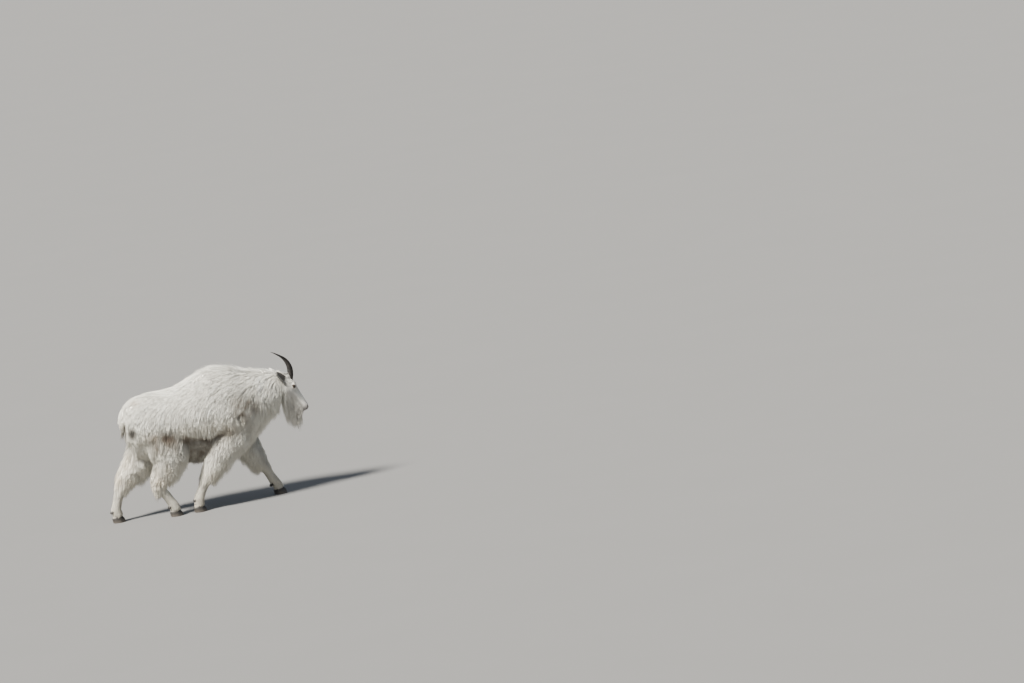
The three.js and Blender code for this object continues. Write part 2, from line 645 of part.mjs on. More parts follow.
// Rows of locks on a form. A row gives its place round the form (from the front or back, 0, over the
// outer side, 0.25, to the rear or belly, 0.5, and the inner side, 0.75), the first and last station, how
// many locks and their size. A mirrored row is laid on both sides.
function lockRows(form, flow, rows, seed, { mirrored = false, side = 1 } = {}) {
  const roll = dice(seed);
  const made = [];
  rows.forEach(([around, from, to, count, size], r) => {
    const own = side > 0 ? around : 1 - around;
    const places = mirrored && around > 0 && around < 0.5 ? [own, 1 - own] : [own];
    places.forEach((place) => {
      for (let i = 0; i < count; i++) {
        const t = (i + 0.5 + (r % 2 ? 0.22 : -0.22)) / count;
        const u = mix(from, to, clamp(t + (roll() - 0.5) * 0.36 / count, 0, 1));
        const v = place + (roll() - 0.5) * 0.02;
        const varied = {
          ...size,
          length: size.length * (0.86 + 0.28 * roll()),
          width: size.width * (0.9 + 0.2 * roll()),
        };
        const seedOfLock = Math.floor(roll() * 1e9);
        made.push((grow) => lock(form, u, v, flow, varied, dice(seedOfLock), grow));
      }
    });
  });
  return made;
}

const TORSO_LOCKS = lockRows(TORSO, bodyLie, [
  [0.0, 1.4, 9.5, 6, { length: 190, width: 130 }],
  [0.085, 1.4, 9.2, 6, { length: 200, width: 138 }],
  [0.165, 1.2, 9.0, 6, { length: 205, width: 138 }],
  [0.24, 1.2, 8.8, 6, { length: 205, width: 132 }],
  [0.315, 1.6, 8.2, 5, { length: 170, width: 124 }],
  [0.42, 3.8, 8.0, 3, { length: 108, width: 110 }],
  [0.12, 0.35, 0.35, 1, { length: 190, width: 90 }],
  [0.24, 0.35, 0.35, 1, { length: 190, width: 90 }],
  [0.36, 0.45, 0.45, 1, { length: 190, width: 90, drape: 0.4 }],
  [0.46, 0.7, 0.7, 1, { length: 170, width: 90, drape: 0.6 }],
], 11, { mirrored: true });

const NECK_LOCKS = lockRows(NECK, bodyLie, [
  [0.0, 1.9, 4.9, 3, { length: 160, width: 116 }],
  [0.12, 1.8, 4.6, 3, { length: 165, width: 104 }],
  [0.25, 1.8, 4.5, 3, { length: 165, width: 100 }],
  [0.39, 1.9, 4.0, 2, { length: 150, width: 96 }],
], 23, { mirrored: true });

const TAIL_LOCKS = lockRows(TAIL, downLie, [
  [0.0, 1.2, 3.0, 2, { length: 105, width: 54, thick: 9 }],
  [0.22, 1.8, 1.8, 1, { length: 120, width: 50, thick: 9 }],
], 41, { mirrored: true });

const BEARD_LOCKS = lockRows(BEARD, downLie, [
  [0.0, 2.9, 2.9, 1, { length: 104, width: 48, thick: 9, drape: 0.8 }],
  [0.1, 3.3, 3.3, 1, { length: 98, width: 48, thick: 9, drape: 0.8 }],
  [0.2, 1.6, 3.6, 2, { length: 100, width: 52, thick: 9, drape: 0.6 }],
  [0.32, 1.4, 3.6, 2, { length: 100, width: 52, thick: 9, drape: 0.6 }],
  [0.43, 1.3, 3.4, 2, { length: 98, width: 50, thick: 9, drape: 0.7 }],
  [0.5, 2.4, 2.4, 1, { length: 100, width: 48, thick: 9, drape: 0.8 }],
], 41, { mirrored: true });

// Locks of a forelimb and of a hind limb. drapeFront and drapeRear say how freely the hair in front of
// the limb and behind it hangs.
function foreRows(drapeFront, drapeRear) {
  return [
    [0.0, 1.8, 4.6, 3, { length: 165, width: 80, drape: drapeFront }],
    [0.18, 1.6, 4.7, 3, { length: 150, width: 84, drape: drapeFront * 0.5 }],
    [0.36, 1.8, 4.8, 3, { length: 155, width: 80, drape: drapeRear * 0.5 }],
    [0.54, 2.0, 4.8, 3, { length: 170, width: 74, drape: drapeRear }],
    [0.75, 3.0, 4.6, 2, { length: 140, width: 78 }],
  ];
}

function hindRows(drapeFront, drapeRear) {
  return [
    [0.0, 2.0, 4.7, 3, { length: 180, width: 88, drape: drapeFront }],
    [0.14, 1.8, 5.0, 3, { length: 165, width: 92, drape: drapeFront * 0.6 }],
    [0.28, 1.0, 5.2, 4, { length: 165, width: 94 }],
    [0.42, 1.6, 5.7, 4, { length: 155, width: 84, drape: drapeRear * 0.5 }],
    [0.56, 2.6, 5.9, 2, { length: 145, width: 78, drape: drapeRear }],
    [0.78, 3.4, 5.0, 2, { length: 145, width: 80 }],
  ];
}

// Assembly

// Keeps the largest closed surface.
function largest(body) {
  return body.decompose().reduce((a, b) => (b.volume() > a.volume() ? b : a));
}

function toGeometry(body) {
  const mesh = body.getMesh();
  const geometry = new THREE.BufferGeometry();
  const p = new Float32Array(mesh.numVert * 3);
  for (let i = 0; i < mesh.numVert; i++) {
    p.set(mesh.vertProperties.subarray(i * mesh.numProp, i * mesh.numProp + 3), i * 3);
  }
  geometry.setAttribute('position', new THREE.BufferAttribute(p, 3));
  geometry.setIndex(new THREE.BufferAttribute(new Uint32Array(mesh.triVerts), 1));
  geometry.computeVertexNormals();
  return geometry;
}

function headBody(grow) {
  const lids = [1, -1].flatMap((side) => [lid(side, true), lid(side, false)]);
  const openings = [1, -1].flatMap((side) => [nostril(side), eye(side, GAP)]);
  const forms = [HEAD.core(18, 16, grow), BEARD.core(6, 10, grow)];
  const skull = Manifold.union([...forms, nosePad(), chin(), ...lids]);
  return skull.subtract(Manifold.union([...openings, mouthLine()]));
}

// Cores in the order in which they give way: each is cut clear of those before it. Each is also kept a
// gap larger, to cut the others.
const cores = new Map();
const grown = new Map();

function addCore(name, make, neighbours) {
  const cutters = neighbours.map((other) => grown.get(other));
  const body = neighbours.length ? make(0).subtract(Manifold.union(cutters)) : make(0);
  cores.set(name, largest(body));
  grown.set(name, make(GAP));
}

addCore('head', headBody, []);
grown.set('head', Manifold.union(HEAD.core(18, 16, GAP), BEARD.core(6, 10, GAP)));
addCore('torso', (grow) => TORSO.core(15, 16, grow), []);
addCore('tail', (grow) => TAIL.core(6, 8, grow), ['torso']);
for (const name of ['front_left', 'front_right']) {
  addCore(`leg_${name}`, (grow) => LEGS[name].form.core(15, 10, grow), ['torso']);
}
for (const name of ['hind_left', 'hind_right']) {
  const { form } = LEGS[name];
  addCore(`leg_${name}`, (grow) => form.core(10, 10, grow, 0, HOCK), ['torso']);
  addCore(`shank_${name}`, (grow) => form.core(9, 10, grow, HOCK - 0.4, form.last), ['torso', `leg_${name}`]);
}
addCore('neck', (grow) => NECK.core(7, 14, grow), [...grown.keys()]);

const fittings = new Map();
const scalp = Manifold.union([grown.get('head'), grown.get('neck')]);
for (const [word, side] of [['left', 1], ['right', -1]]) {
  fittings.set(`horn_${word}`, horn(side).subtract(scalp));
  fittings.set(`ear_${word}`, ear(side).subtract(scalp));
  fittings.set(`eye_${word}`, eye(side));
}
for (const [name, leg] of Object.entries(LEGS)) {
  const limb = grown.get(`shank_${name}`) ?? grown.get(`leg_${name}`);
  for (const inner of [true, false]) {
    const which = inner ? 'inner' : 'outer';
    fittings.set(`hoof_${name}_${which}`, claw(leg, inner).subtract(limb));
    fittings.set(`dewclaw_${name}_${which}`, dewclaw(leg, inner).subtract(limb));
  }
}

// Coats, in the order in which they lie on one another: each is cut clear of the cores and of the coats
// above it.
const coats = new Map([
  ['head', BEARD_LOCKS],
  ['neck', NECK_LOCKS],
  ['torso', TORSO_LOCKS],
  ['tail', TAIL_LOCKS],
]);
Object.entries(LEGS).forEach(([name, leg], i) => {
  const rows = name.startsWith('hind') ? hindRows(...leg.drape) : foreRows(...leg.drape);
  coats.set(`leg_${name}`, lockRows(leg.form, legLie(leg), rows, 71 + i, { side: leg.side }));
});

const ground = new THREE.BoxGeometry(4000, 4000, 1000).translate(0, 0, GAP - 500);
ground.deleteAttribute('normal').deleteAttribute('uv');
const floor = solid(Array.from(ground.attributes.position.array), Array.from(ground.index.array));
const above = [...fittings.values(), floor];
const bodies = new Map([...cores, ...fittings]);
for (const [name, locks] of coats) {
  const others = [...grown].filter(([other]) => other !== name).map(([, body]) => body);
  const cutter = Manifold.union([...others, ...above]);
  const trimmed = locks.map((make) => make(0).subtract(cutter));
  bodies.set(name, largest(Manifold.union([cores.get(name), ...trimmed])));
  above.push(...locks.map((make) => make(GAP)));
}

const goat = new THREE.Group();
goat.name = 'mountain_goat';
for (const [name, body] of bodies) {
  const finish = name.startsWith('horn') ? HORN
    : name.startsWith('hoof') || name.startsWith('dewclaw') ? HOOF
      : name.startsWith('eye') ? EYE : WOOL;
  const mesh = new THREE.Mesh(toGeometry(largest(body)), new THREE.MeshStandardMaterial(finish));
  mesh.name = name;
  goat.add(mesh);
}

export default goat;
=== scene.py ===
"""A life-size mountain goat, walking, with one skin under a coat of solid tufts.

The tables below are in millimetres, and MM turns them into metres. +X is ahead, +Y is the goat's left and
+Z is up. The forms of the flesh are the same as the part's own. The skin is their union, filled out by a
share of the coat's depth, and the coat grows out of it.
"""

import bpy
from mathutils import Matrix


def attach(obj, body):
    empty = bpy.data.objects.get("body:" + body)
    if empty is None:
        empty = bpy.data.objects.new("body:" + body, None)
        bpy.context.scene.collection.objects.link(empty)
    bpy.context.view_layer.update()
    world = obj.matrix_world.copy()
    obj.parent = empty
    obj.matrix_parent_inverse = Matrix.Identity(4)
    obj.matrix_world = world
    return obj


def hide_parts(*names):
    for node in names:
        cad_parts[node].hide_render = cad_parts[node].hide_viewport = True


bl_info = {
    "name": "Mountain Goat",
    "version": (1, 0, 0),
    "blender": (4, 5, 0),
    "location": "View3D > Sidebar > Goat",
    "description": "Builds a walking mountain goat: skin, eyes, horns, hooves and a shaggy coat of mesh tufts",
    "category": "Object",
}

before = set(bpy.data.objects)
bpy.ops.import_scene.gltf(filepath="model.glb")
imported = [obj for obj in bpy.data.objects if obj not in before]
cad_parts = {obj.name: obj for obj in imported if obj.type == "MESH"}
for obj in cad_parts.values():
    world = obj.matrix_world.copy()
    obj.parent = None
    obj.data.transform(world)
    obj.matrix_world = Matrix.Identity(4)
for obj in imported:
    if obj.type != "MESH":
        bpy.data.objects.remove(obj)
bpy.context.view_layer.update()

import math

import bmesh
import bpy
import numpy as np
from mathutils import Matrix

MM = 0.001
SIDES = (1, -1)
UP = np.array([0.0, 0.0, 1.0])
LEFT = np.array([0.0, 1.0, 0.0])

# Forms of the flesh
# A station: x, y, z of its centre, the reach up or forward, the reach down or back and to each side, then the
# depth of the coat above or in front, at the sides, and below or behind.
PLACE = slice(0, 3)
FRONT_REACH, BACK_REACH, HALF_WIDTH, FRONT_COAT, SIDE_COAT, BACK_COAT = range(3, 9)

TORSO_STATIONS = [
    (-522, 0, 645, 86, 100, 58, 40, 42, 45),
    (-496, 0, 648, 120, 138, 102, 40, 42, 45),
    (-434, 0, 648, 138, 168, 134, 42, 44, 45),
    (-335, 0, 636, 166, 185, 150, 40, 48, 50),
    (-195, 0, 620, 182, 192, 150, 44, 52, 60),
    (-60, 0, 616, 206, 214, 156, 72, 52, 66),
    (80, 0, 620, 232, 224, 156, 96, 50, 66),
    (190, 0, 628, 222, 218, 146, 84, 48, 66),
    (282, 0, 640, 188, 196, 122, 78, 46, 60),
    (345, 0, 640, 128, 142, 84, 60, 44, 55),
    (374, 0, 636, 50, 60, 36, 40, 40, 45),
]
NECK_STATIONS = [
    (215, 0, 655, 175, 195, 118, 82, 44, 55),
    (300, 0, 676, 146, 160, 102, 88, 46, 58),
    (380, 0, 698, 108, 126, 86, 86, 46, 60),
    (455, 0, 718, 80, 96, 72, 76, 42, 55),
    (522, 0, 738, 56, 60, 58, 66, 36, 45),
    (575, 0, 762, 36, 40, 44, 50, 24, 24),
]
TAIL_STATIONS = [
    (-480, 0, 752, 22, 20, 26, 14, 14, 14),
    (-520, 0, 750, 22, 18, 24, 16, 16, 14),
    (-548, 0, 720, 18, 14, 20, 18, 18, 12),
    (-561, 0, 678, 13, 10, 15, 18, 18, 12),
    (-564, 0, 640, 6, 5, 7, 12, 12, 10),
]
# Place along the head's axis and above it, instead of x, y and z.
HEAD_STATIONS = [
    (-26, -30, 16, 18, 16, 8, 8, 8),
    (-10, -28, 38, 38, 40, 26, 12, 10),
    (20, -22, 54, 60, 55, 30, 12, 11),
    (55, -18, 58, 68, 61, 10, 11, 11),
    (90, -14, 53, 62, 60, 6, 8, 10),
    (130, -10, 43, 52, 48, 5, 7, 9),
    (170, -7, 36, 43, 38, 4, 5, 8),
    (210, -5, 31, 37, 33, 3, 4, 6),
    (244, -5, 28, 34, 33, 2, 3, 4),
    (264, -6, 22, 27, 27, 2, 2, 3),
    (274, -7, 11, 14, 14, 1, 1, 2),
]
# A limb's second number is the distance from the middle. drape says how freely the hair in front of the limb
# and behind it hangs, and toe is the x of the hoof's tip.
LIMBS = {
    "front_right": {
        "side": -1, "drape": (0.9, 0.2), "toe": -86, "stations": [
            (200, 82, 520, 92, 92, 50, 34, 34, 36),
            (152, 92, 455, 78, 84, 52, 38, 40, 44),
            (100, 96, 402, 60, 70, 47, 42, 44, 52),
            (48, 92, 342, 46, 52, 40, 42, 44, 56),
            (-6, 88, 282, 37, 39, 34, 36, 40, 50),
            (-50, 84, 228, 32, 31, 31, 24, 26, 32),
            (-76, 81, 184, 24, 25, 24, 11, 11, 12),
            (-103, 80, 136, 21, 23, 22, 9, 9, 10),
            (-127, 80, 90, 25, 27, 26, 8, 8, 10),
            (-131, 80, 62, 24, 23, 27, 6, 6, 8),
            (-128, 80, 45, 20, 18, 24, 3, 3, 4),
        ]},
    "front_left": {
        "side": 1, "drape": (0.1, 1.0), "toe": 506, "stations": [
            (232, 82, 520, 92, 92, 50, 34, 34, 36),
            (252, 92, 455, 78, 84, 52, 38, 40, 44),
            (276, 96, 400, 60, 70, 47, 42, 44, 52),
            (303, 92, 340, 46, 52, 40, 42, 44, 56),
            (333, 88, 282, 37, 39, 34, 36, 40, 50),
            (362, 84, 228, 32, 31, 31, 24, 26, 32),
            (385, 81, 182, 24, 25, 24, 11, 11, 12),
            (410, 80, 136, 21, 23, 22, 9, 9, 10),
            (434, 80, 90, 25, 27, 26, 8, 8, 10),
            (450, 80, 62, 24, 23, 27, 6, 6, 8),
            (458, 80, 45, 20, 18, 24, 3, 3, 4),
        ]},
    "hind_right": {
        "side": -1, "drape": (0.7, 0.5), "toe": -250, "stations": [
            (-335, 84, 590, 112, 118, 56, 36, 36, 38),
            (-296, 94, 515, 108, 122, 60, 40, 42, 46),
            (-266, 100, 448, 90, 114, 59, 42, 46, 52),
            (-276, 98, 386, 68, 92, 53, 42, 46, 56),
            (-322, 92, 324, 46, 60, 43, 38, 42, 54),
            (-376, 86, 272, 33, 40, 33, 26, 30, 40),
            (-386, 82, 232, 29, 31, 28, 14, 16, 26),
            (-354, 81, 168, 21, 24, 22, 10, 10, 14),
            (-324, 80, 112, 21, 22, 22, 9, 9, 11),
            (-308, 80, 84, 25, 27, 26, 8, 8, 10),
            (-298, 80, 60, 24, 23, 27, 6, 6, 8),
            (-292, 80, 45, 20, 18, 24, 3, 3, 4),
        ]},
    "hind_left": {
        "side": 1, "drape": (1.0, 0.3), "toe": -614, "stations": [
            (-372, 84, 590, 112, 112, 56, 36, 36, 38),
            (-378, 94, 515, 104, 112, 60, 40, 42, 46),
            (-396, 100, 446, 86, 104, 59, 42, 46, 52),
            (-446, 98, 384, 66, 84, 52, 42, 46, 56),
            (-514, 92, 332, 46, 56, 42, 38, 42, 54),
            (-576, 86, 292, 33, 40, 33, 30, 32, 40),
            (-602, 82, 252, 29, 31, 28, 18, 20, 28),
            (-632, 81, 182, 21, 24, 22, 11, 11, 16),
            (-657, 80, 118, 21, 22, 22, 9, 9, 11),
            (-667, 80, 86, 25, 27, 26, 8, 8, 10),
            (-662, 80, 60, 24, 23, 27, 6, 6, 8),
            (-656, 80, 45, 20, 18, 24, 3, 3, 4),
        ]},
}
FLESH_NODES = [
    "torso", "neck", "head", "tail", "ear_left", "ear_right", "leg_front_left", "leg_front_right",
    "leg_hind_left", "leg_hind_right", "shank_hind_left", "shank_hind_right",
]

HEAD_PITCH = math.radians(60)
# The middle of the back of the head, from which the head's own axes run.
OCCIPUT = np.array([569.0, 0.0, 787.0])
NOSEWARD = np.array([math.cos(HEAD_PITCH), 0.0, -math.sin(HEAD_PITCH)])
BROWWARD = np.array([math.sin(HEAD_PITCH), 0.0, math.cos(HEAD_PITCH)])
EYE_PLACE = (84, 14, 49)
EYE_RADIUS = 16.0
LID_THICKNESS = 2.6
# Distance from the middle of an eye within which the skin can belong to its lids.
LID_REACH = 34.0
# Distance of the feet from the middle.
FETLOCK_TRACK = 80.0

# Numbers that stand for the parts of the animal in the skin's attribute.
TORSO, NECK, HEAD, TAIL, EAR, FORELIMB, HINDLIMB = range(7)


# Small helpers for whole arrays

def smooth(low, high, x):
    """Smooth step: 0 below low, 1 above high, 3t^2 - 2t^3 between."""
    t = np.clip((x - low) / (high - low), 0, 1)
    return t * t * (3 - 2 * t)


def mix(a, b, t):
    """a where t is 0, b where t is 1, and evenly between."""
    return a + (b - a) * t


def bell(*terms):
    """1 in the middle and less around it: e^-s, with s the sum of ((value - middle) / reach)^2."""
    return np.exp(-sum(((value - middle) / reach) ** 2 for value, middle, reach in terms))


def unit(vectors):
    """Vectors scaled to length 1."""
    return vectors / np.maximum(np.linalg.norm(vectors, axis=-1, keepdims=True), 1e-12)


def dot(a, b):
    """Dot products along the last axis, kept as a column."""
    return np.sum(a * b, axis=-1, keepdims=True)


def curve(values, u):
    """Catmull-Rom curve through evenly spaced rows of numbers, read at every u: the cubic that passes through
    rows i and i + 1 with slopes of half the difference of their neighbours."""
    values = np.asarray(values, float)
    last = len(values) - 1
    u = np.clip(np.asarray(u, float), 0, last)
    i = np.clip(np.floor(u).astype(int), 0, last - 1)
    shape = i.shape + (1,) * (values.ndim - 1)
    f = (u - i).reshape(shape)
    p1, p2 = values[i], values[i + 1]
    p0 = np.where((i == 0).reshape(shape), 2 * p1 - p2, values[np.maximum(i - 1, 0)])
    p3 = np.where((i + 2 > last).reshape(shape), 2 * p2 - p1, values[np.minimum(i + 2, last)])
    return 0.5 * (2 * p1 + (p2 - p0) * f + (2 * p0 - 5 * p1 + 4 * p2 - p3) * f ** 2
                  + (3 * p1 - p0 - 3 * p2 + p3) * f ** 3)


def ripple(points, wavelength, seed, sines=7):
    """Soft random field of about -1 to 1: sine waves that run in random directions, added up and divided by the
    root of their number."""
    rng = np.random.default_rng(seed)
    directions = unit(rng.normal(size=(sines, 3))) * (2 * np.pi / wavelength)
    directions = directions * rng.uniform(0.6, 1.5, (sines, 1))
    return np.sin(points @ directions.T + rng.uniform(0, 2 * np.pi, sines)).sum(axis=-1) / math.sqrt(sines)


def head_point(along, above, left=0.0):
    """A place by the head's own axes: OCCIPUT + along * nosewards + above * browwards + left."""
    return (OCCIPUT + np.multiply.outer(along, NOSEWARD) + np.multiply.outer(above, BROWWARD)
            + np.multiply.outer(left, LEFT))


def head_axes(points):
    """Distances along the head's axis, above it and to the left of it, in millimetres."""
    away = points / MM - OCCIPUT
    return away @ NOSEWARD, away @ BROWWARD, away[..., 1]


class Form:
    """A surface swept along a spine. u counts stations and v goes once round from the back or front. The place
    is centre(u) + front * (reach + extra) * cos 2 pi v + side * (half + extra) * sign(s) |s|^p, where s is
    sin 2 pi v and p is ridge on the front half and keel on the other. firm draws the spine's direction to the
    axis."""

    def __init__(self, stations, ridge=1.0, keel=1.0, axis=(1, 0, 0), firm=0.0):
        self.table = np.array(stations, float)
        self.last = len(stations) - 1
        self.ridge, self.keel, self.firm = ridge, keel, firm
        self.axis = unit(np.array(axis, float))

    def read(self, column, u):
        """A column of the stations at u, by a smooth curve."""
        return curve(self.table[:, column], u)

    def frame(self, u):
        """Directions along the spine, to the back or front, and to the side."""
        step = 0.02
        ahead, behind = np.minimum(u + step, self.last), np.maximum(u - step, 0)
        along = unit(self.read(PLACE, ahead) - self.read(PLACE, behind))
        along = unit(mix(along, self.axis, self.firm))
        front = unit(np.cross(along, LEFT))
        return along, front, unit(np.cross(front, along))

    def at(self, u, v, extra=0.0):
        """Places of the surface, an extra distance outside it."""
        angle = 2 * np.pi * v
        c, s = np.cos(angle), np.sin(angle)
        _, front, side = self.frame(u)
        reach = np.where(c > 0, self.read(FRONT_REACH, u), self.read(BACK_REACH, u)) + extra
        power = np.where(c > 0, self.ridge, self.keel)
        width = (self.read(HALF_WIDTH, u) + extra) * np.sign(s) * np.abs(s) ** power
        return self.read(PLACE, u) + front * (reach * c)[..., None] + side * width[..., None]

    def coat(self, u, v_cos):
        """Depth of the coat: from the side's depth to the back's or belly's by the square of cos 2 pi v."""
        end = np.where(v_cos > 0, self.read(FRONT_COAT, u), self.read(BACK_COAT, u))
        return mix(self.read(SIDE_COAT, u), end, v_cos ** 2)


def limb_form(limb):
    """A limb's form, whose rings lie half-way between level and square to the leg."""
    rows = [(x, limb["side"] * out, *rest) for x, out, *rest in limb["stations"]]
    return Form(rows, 0.95, 0.95, (0, 0, -1), 0.5)


FORMS = {
    "torso": Form(TORSO_STATIONS, 1.25, 0.85, (1, 0, 0), 1.0),
    "neck": Form(NECK_STATIONS, 1.2, 0.95, (0.95, 0, 0.3), 0.7),
    "head": Form([(*head_point(along, above), *rest) for along, above, *rest in HEAD_STATIONS], 0.9, 0.95),
    "tail": Form(TAIL_STATIONS),
    **{name: limb_form(limb) for name, limb in LIMBS.items()},
}
PART_OF = {"torso": TORSO, "neck": NECK, "head": HEAD, "tail": TAIL, "front_right": FORELIMB,
           "front_left": FORELIMB, "hind_right": HINDLIMB, "hind_left": HINDLIMB}
FORM_ORDER = list(FORMS)


def turns(sides):
    """Angles of evenly spaced places once round a circle."""
    return np.arange(sides) / sides * 2 * np.pi


# Meshes from arrays

def new_mesh(name, points, quads=(), triangles=()):
    """A mesh from a table of points in metres and tables of four and three corners."""
    quads = np.asarray(quads, np.int32).reshape(-1, 4)
    triangles = np.asarray(triangles, np.int32).reshape(-1, 3)
    mesh = bpy.data.meshes.new(name)
    mesh.vertices.add(len(points))
    mesh.vertices.foreach_set("co", np.ascontiguousarray(points, np.float32).ravel())
    corners = np.concatenate([quads.ravel(), triangles.ravel()])
    mesh.loops.add(len(corners))
    mesh.loops.foreach_set("vertex_index", corners)
    starts = np.concatenate([4 * np.arange(len(quads)), quads.size + 3 * np.arange(len(triangles))])
    mesh.polygons.add(len(starts))
    mesh.polygons.foreach_set("loop_start", starts.astype(np.int32))
    mesh.update(calc_edges=True)
    mesh.shade_smooth()
    return mesh


def tube_faces(rings, sides):
    """Quads between rings of points, and triangles to a point before the first ring and one after the last,
    which follow the rings in the table of points."""
    j = np.arange(sides)
    k = (j + 1) % sides
    i = np.arange(rings - 1)[:, None] * sides
    quads = np.stack([i + j, i + k, i + sides + k, i + sides + j], axis=-1).reshape(-1, 4)
    end = (rings - 1) * sides
    caps = np.concatenate([
        np.stack([np.full(sides, rings * sides), k, j], axis=-1),
        np.stack([np.full(sides, rings * sides + 1), end + j, end + k], axis=-1),
    ])
    return quads, caps


def keep_pattern(mesh, name, columns, shape, last):
    """Keeps three numbers for each point of a tube, for a pattern: the columns over its grid, 0, 0, 0 at its
    first end and 0, 0, last at the other."""
    table = np.stack([np.broadcast_to(column, shape) for column in columns], axis=-1).reshape(-1, 3)
    store(mesh, name, np.concatenate([table, [[0, 0, 0], [0, 0, last]]]), "FLOAT_VECTOR")


def tube(name, grid, first, last):
    """A closed tube through a grid of rings of points in millimetres, with a point at each end."""
    rings, sides = grid.shape[:2]
    points = np.concatenate([grid.reshape(-1, 3), [first, last]]) * MM
    return new_mesh(name, points, *tube_faces(rings, sides))


def join(name, meshes):
    """One mesh from several, with the named numbers that they hold. The several are removed."""
    joined = bmesh.new()
    for mesh in meshes:
        joined.from_mesh(mesh)
    bmesh.ops.recalc_face_normals(joined, faces=joined.faces)
    result = bpy.data.meshes.new(name)
    joined.to_mesh(result)
    joined.free()
    for mesh in meshes:
        bpy.data.meshes.remove(mesh)
    return result


def link(mesh):
    """Puts a mesh in the scene, as an object of the same name at the origin."""
    piece = bpy.data.objects.new(mesh.name, mesh)
    bpy.context.scene.collection.objects.link(piece)
    return piece


def drop(piece):
    """Removes an object and its mesh."""
    mesh = piece.data
    bpy.data.objects.remove(piece)
    bpy.data.meshes.remove(mesh)


def evaluated(piece):
    """A copy of the object's mesh after its modifiers."""
    graph = bpy.context.evaluated_depsgraph_get()
    return bpy.data.meshes.new_from_object(piece.evaluated_get(graph), preserve_all_data_layers=True,
                                           depsgraph=graph)


def with_modifiers(mesh, *steps):
    """The mesh after modifiers, each given by its type and a dict of its settings."""
    piece = link(mesh)
    for kind, settings in steps:
        modifier = piece.modifiers.new(kind.lower(), kind)
        for key, value in settings.items():
            setattr(modifier, key, value)
    result = evaluated(piece)
    result.name = mesh.name
    drop(piece)
    return result


def of_vertices(mesh, key):
    """A table of three numbers for each vertex."""
    table = np.empty(len(mesh.vertices) * 3, np.float32)
    mesh.vertices.foreach_get(key, table)
    return table.reshape(-1, 3).astype(float)


def places(mesh):
    """Where the vertices are, in metres."""
    return of_vertices(mesh, "co")


def outward(mesh):
    """The normals at the vertices."""
    return of_vertices(mesh, "normal")


def set_places(mesh, points):
    """Moves the vertices."""
    mesh.vertices.foreach_set("co", np.ascontiguousarray(points, np.float32).ravel())
    mesh.update()


def store(mesh, name, values, kind, domain="POINT"):
    """Keeps a table of numbers, vectors or colours on a mesh's points, faces or corners."""
    attribute = mesh.attributes.get(name) or mesh.attributes.new(name, kind, domain)
    key = {"FLOAT": "value", "FLOAT_VECTOR": "vector", "FLOAT_COLOR": "color"}[kind]
    attribute.data.foreach_set(key, np.ascontiguousarray(values, np.float32).ravel())


def corner_vertices(mesh):
    """The vertex of each corner of the faces."""
    table = np.empty(len(mesh.loops), np.int32)
    mesh.loops.foreach_get("vertex_index", table)
    return table


def spread(mesh, values, rounds):
    """Values evened out over the mesh: each becomes the mean of itself and its neighbours' mean, many times."""
    ends = np.empty(len(mesh.edges) * 2, np.int32)
    mesh.edges.foreach_get("vertices", ends)
    a, b = ends.reshape(-1, 2).T
    count = np.maximum(np.bincount(ends, minlength=len(mesh.vertices)), 1)[:, None]
    values = values.reshape(len(mesh.vertices), -1)
    for _ in range(rounds):
        total = np.stack([np.bincount(a, column[b], len(count)) + np.bincount(b, column[a], len(count))
                          for column in values.T], axis=-1)
        values = 0.5 * values + 0.5 * total / count
    return values


def near_line(points, line):
    """Distance from each point to a broken line, and how far along it the nearest place is, from 0 to 1."""
    best = np.full(len(points), np.inf)
    where = np.zeros(len(points))
    for i, (a, b) in enumerate(zip(line[:-1], line[1:])):
        t = np.clip((points - a) @ (b - a) / ((b - a) @ (b - a)), 0, 1)
        distance = np.linalg.norm(points - a - t[:, None] * (b - a), axis=1)
        closer = distance < best
        best = np.where(closer, distance, best)
        where = np.where(closer, (i + t) / (len(line) - 1), where)
    return best, where


# Reading the skin with geometry nodes

def node_tree(name):
    """An empty geometry node group with its geometry in and out."""
    tree = bpy.data.node_groups.new(name, "GeometryNodeTree")
    for direction in ("INPUT", "OUTPUT"):
        tree.interface.new_socket(name="Geometry", in_out=direction, socket_type="NodeSocketGeometry")
    return tree, tree.nodes.new("NodeGroupInput").outputs[0], tree.nodes.new("NodeGroupOutput").inputs[0]


def after_nodes(piece, tree):
    """The piece's mesh after a geometry node group."""
    modifier = piece.modifiers.new("nodes", "NODES")
    modifier.node_group = tree
    mesh = evaluated(piece)
    piece.modifiers.remove(modifier)
    bpy.data.node_groups.remove(tree)
    return mesh


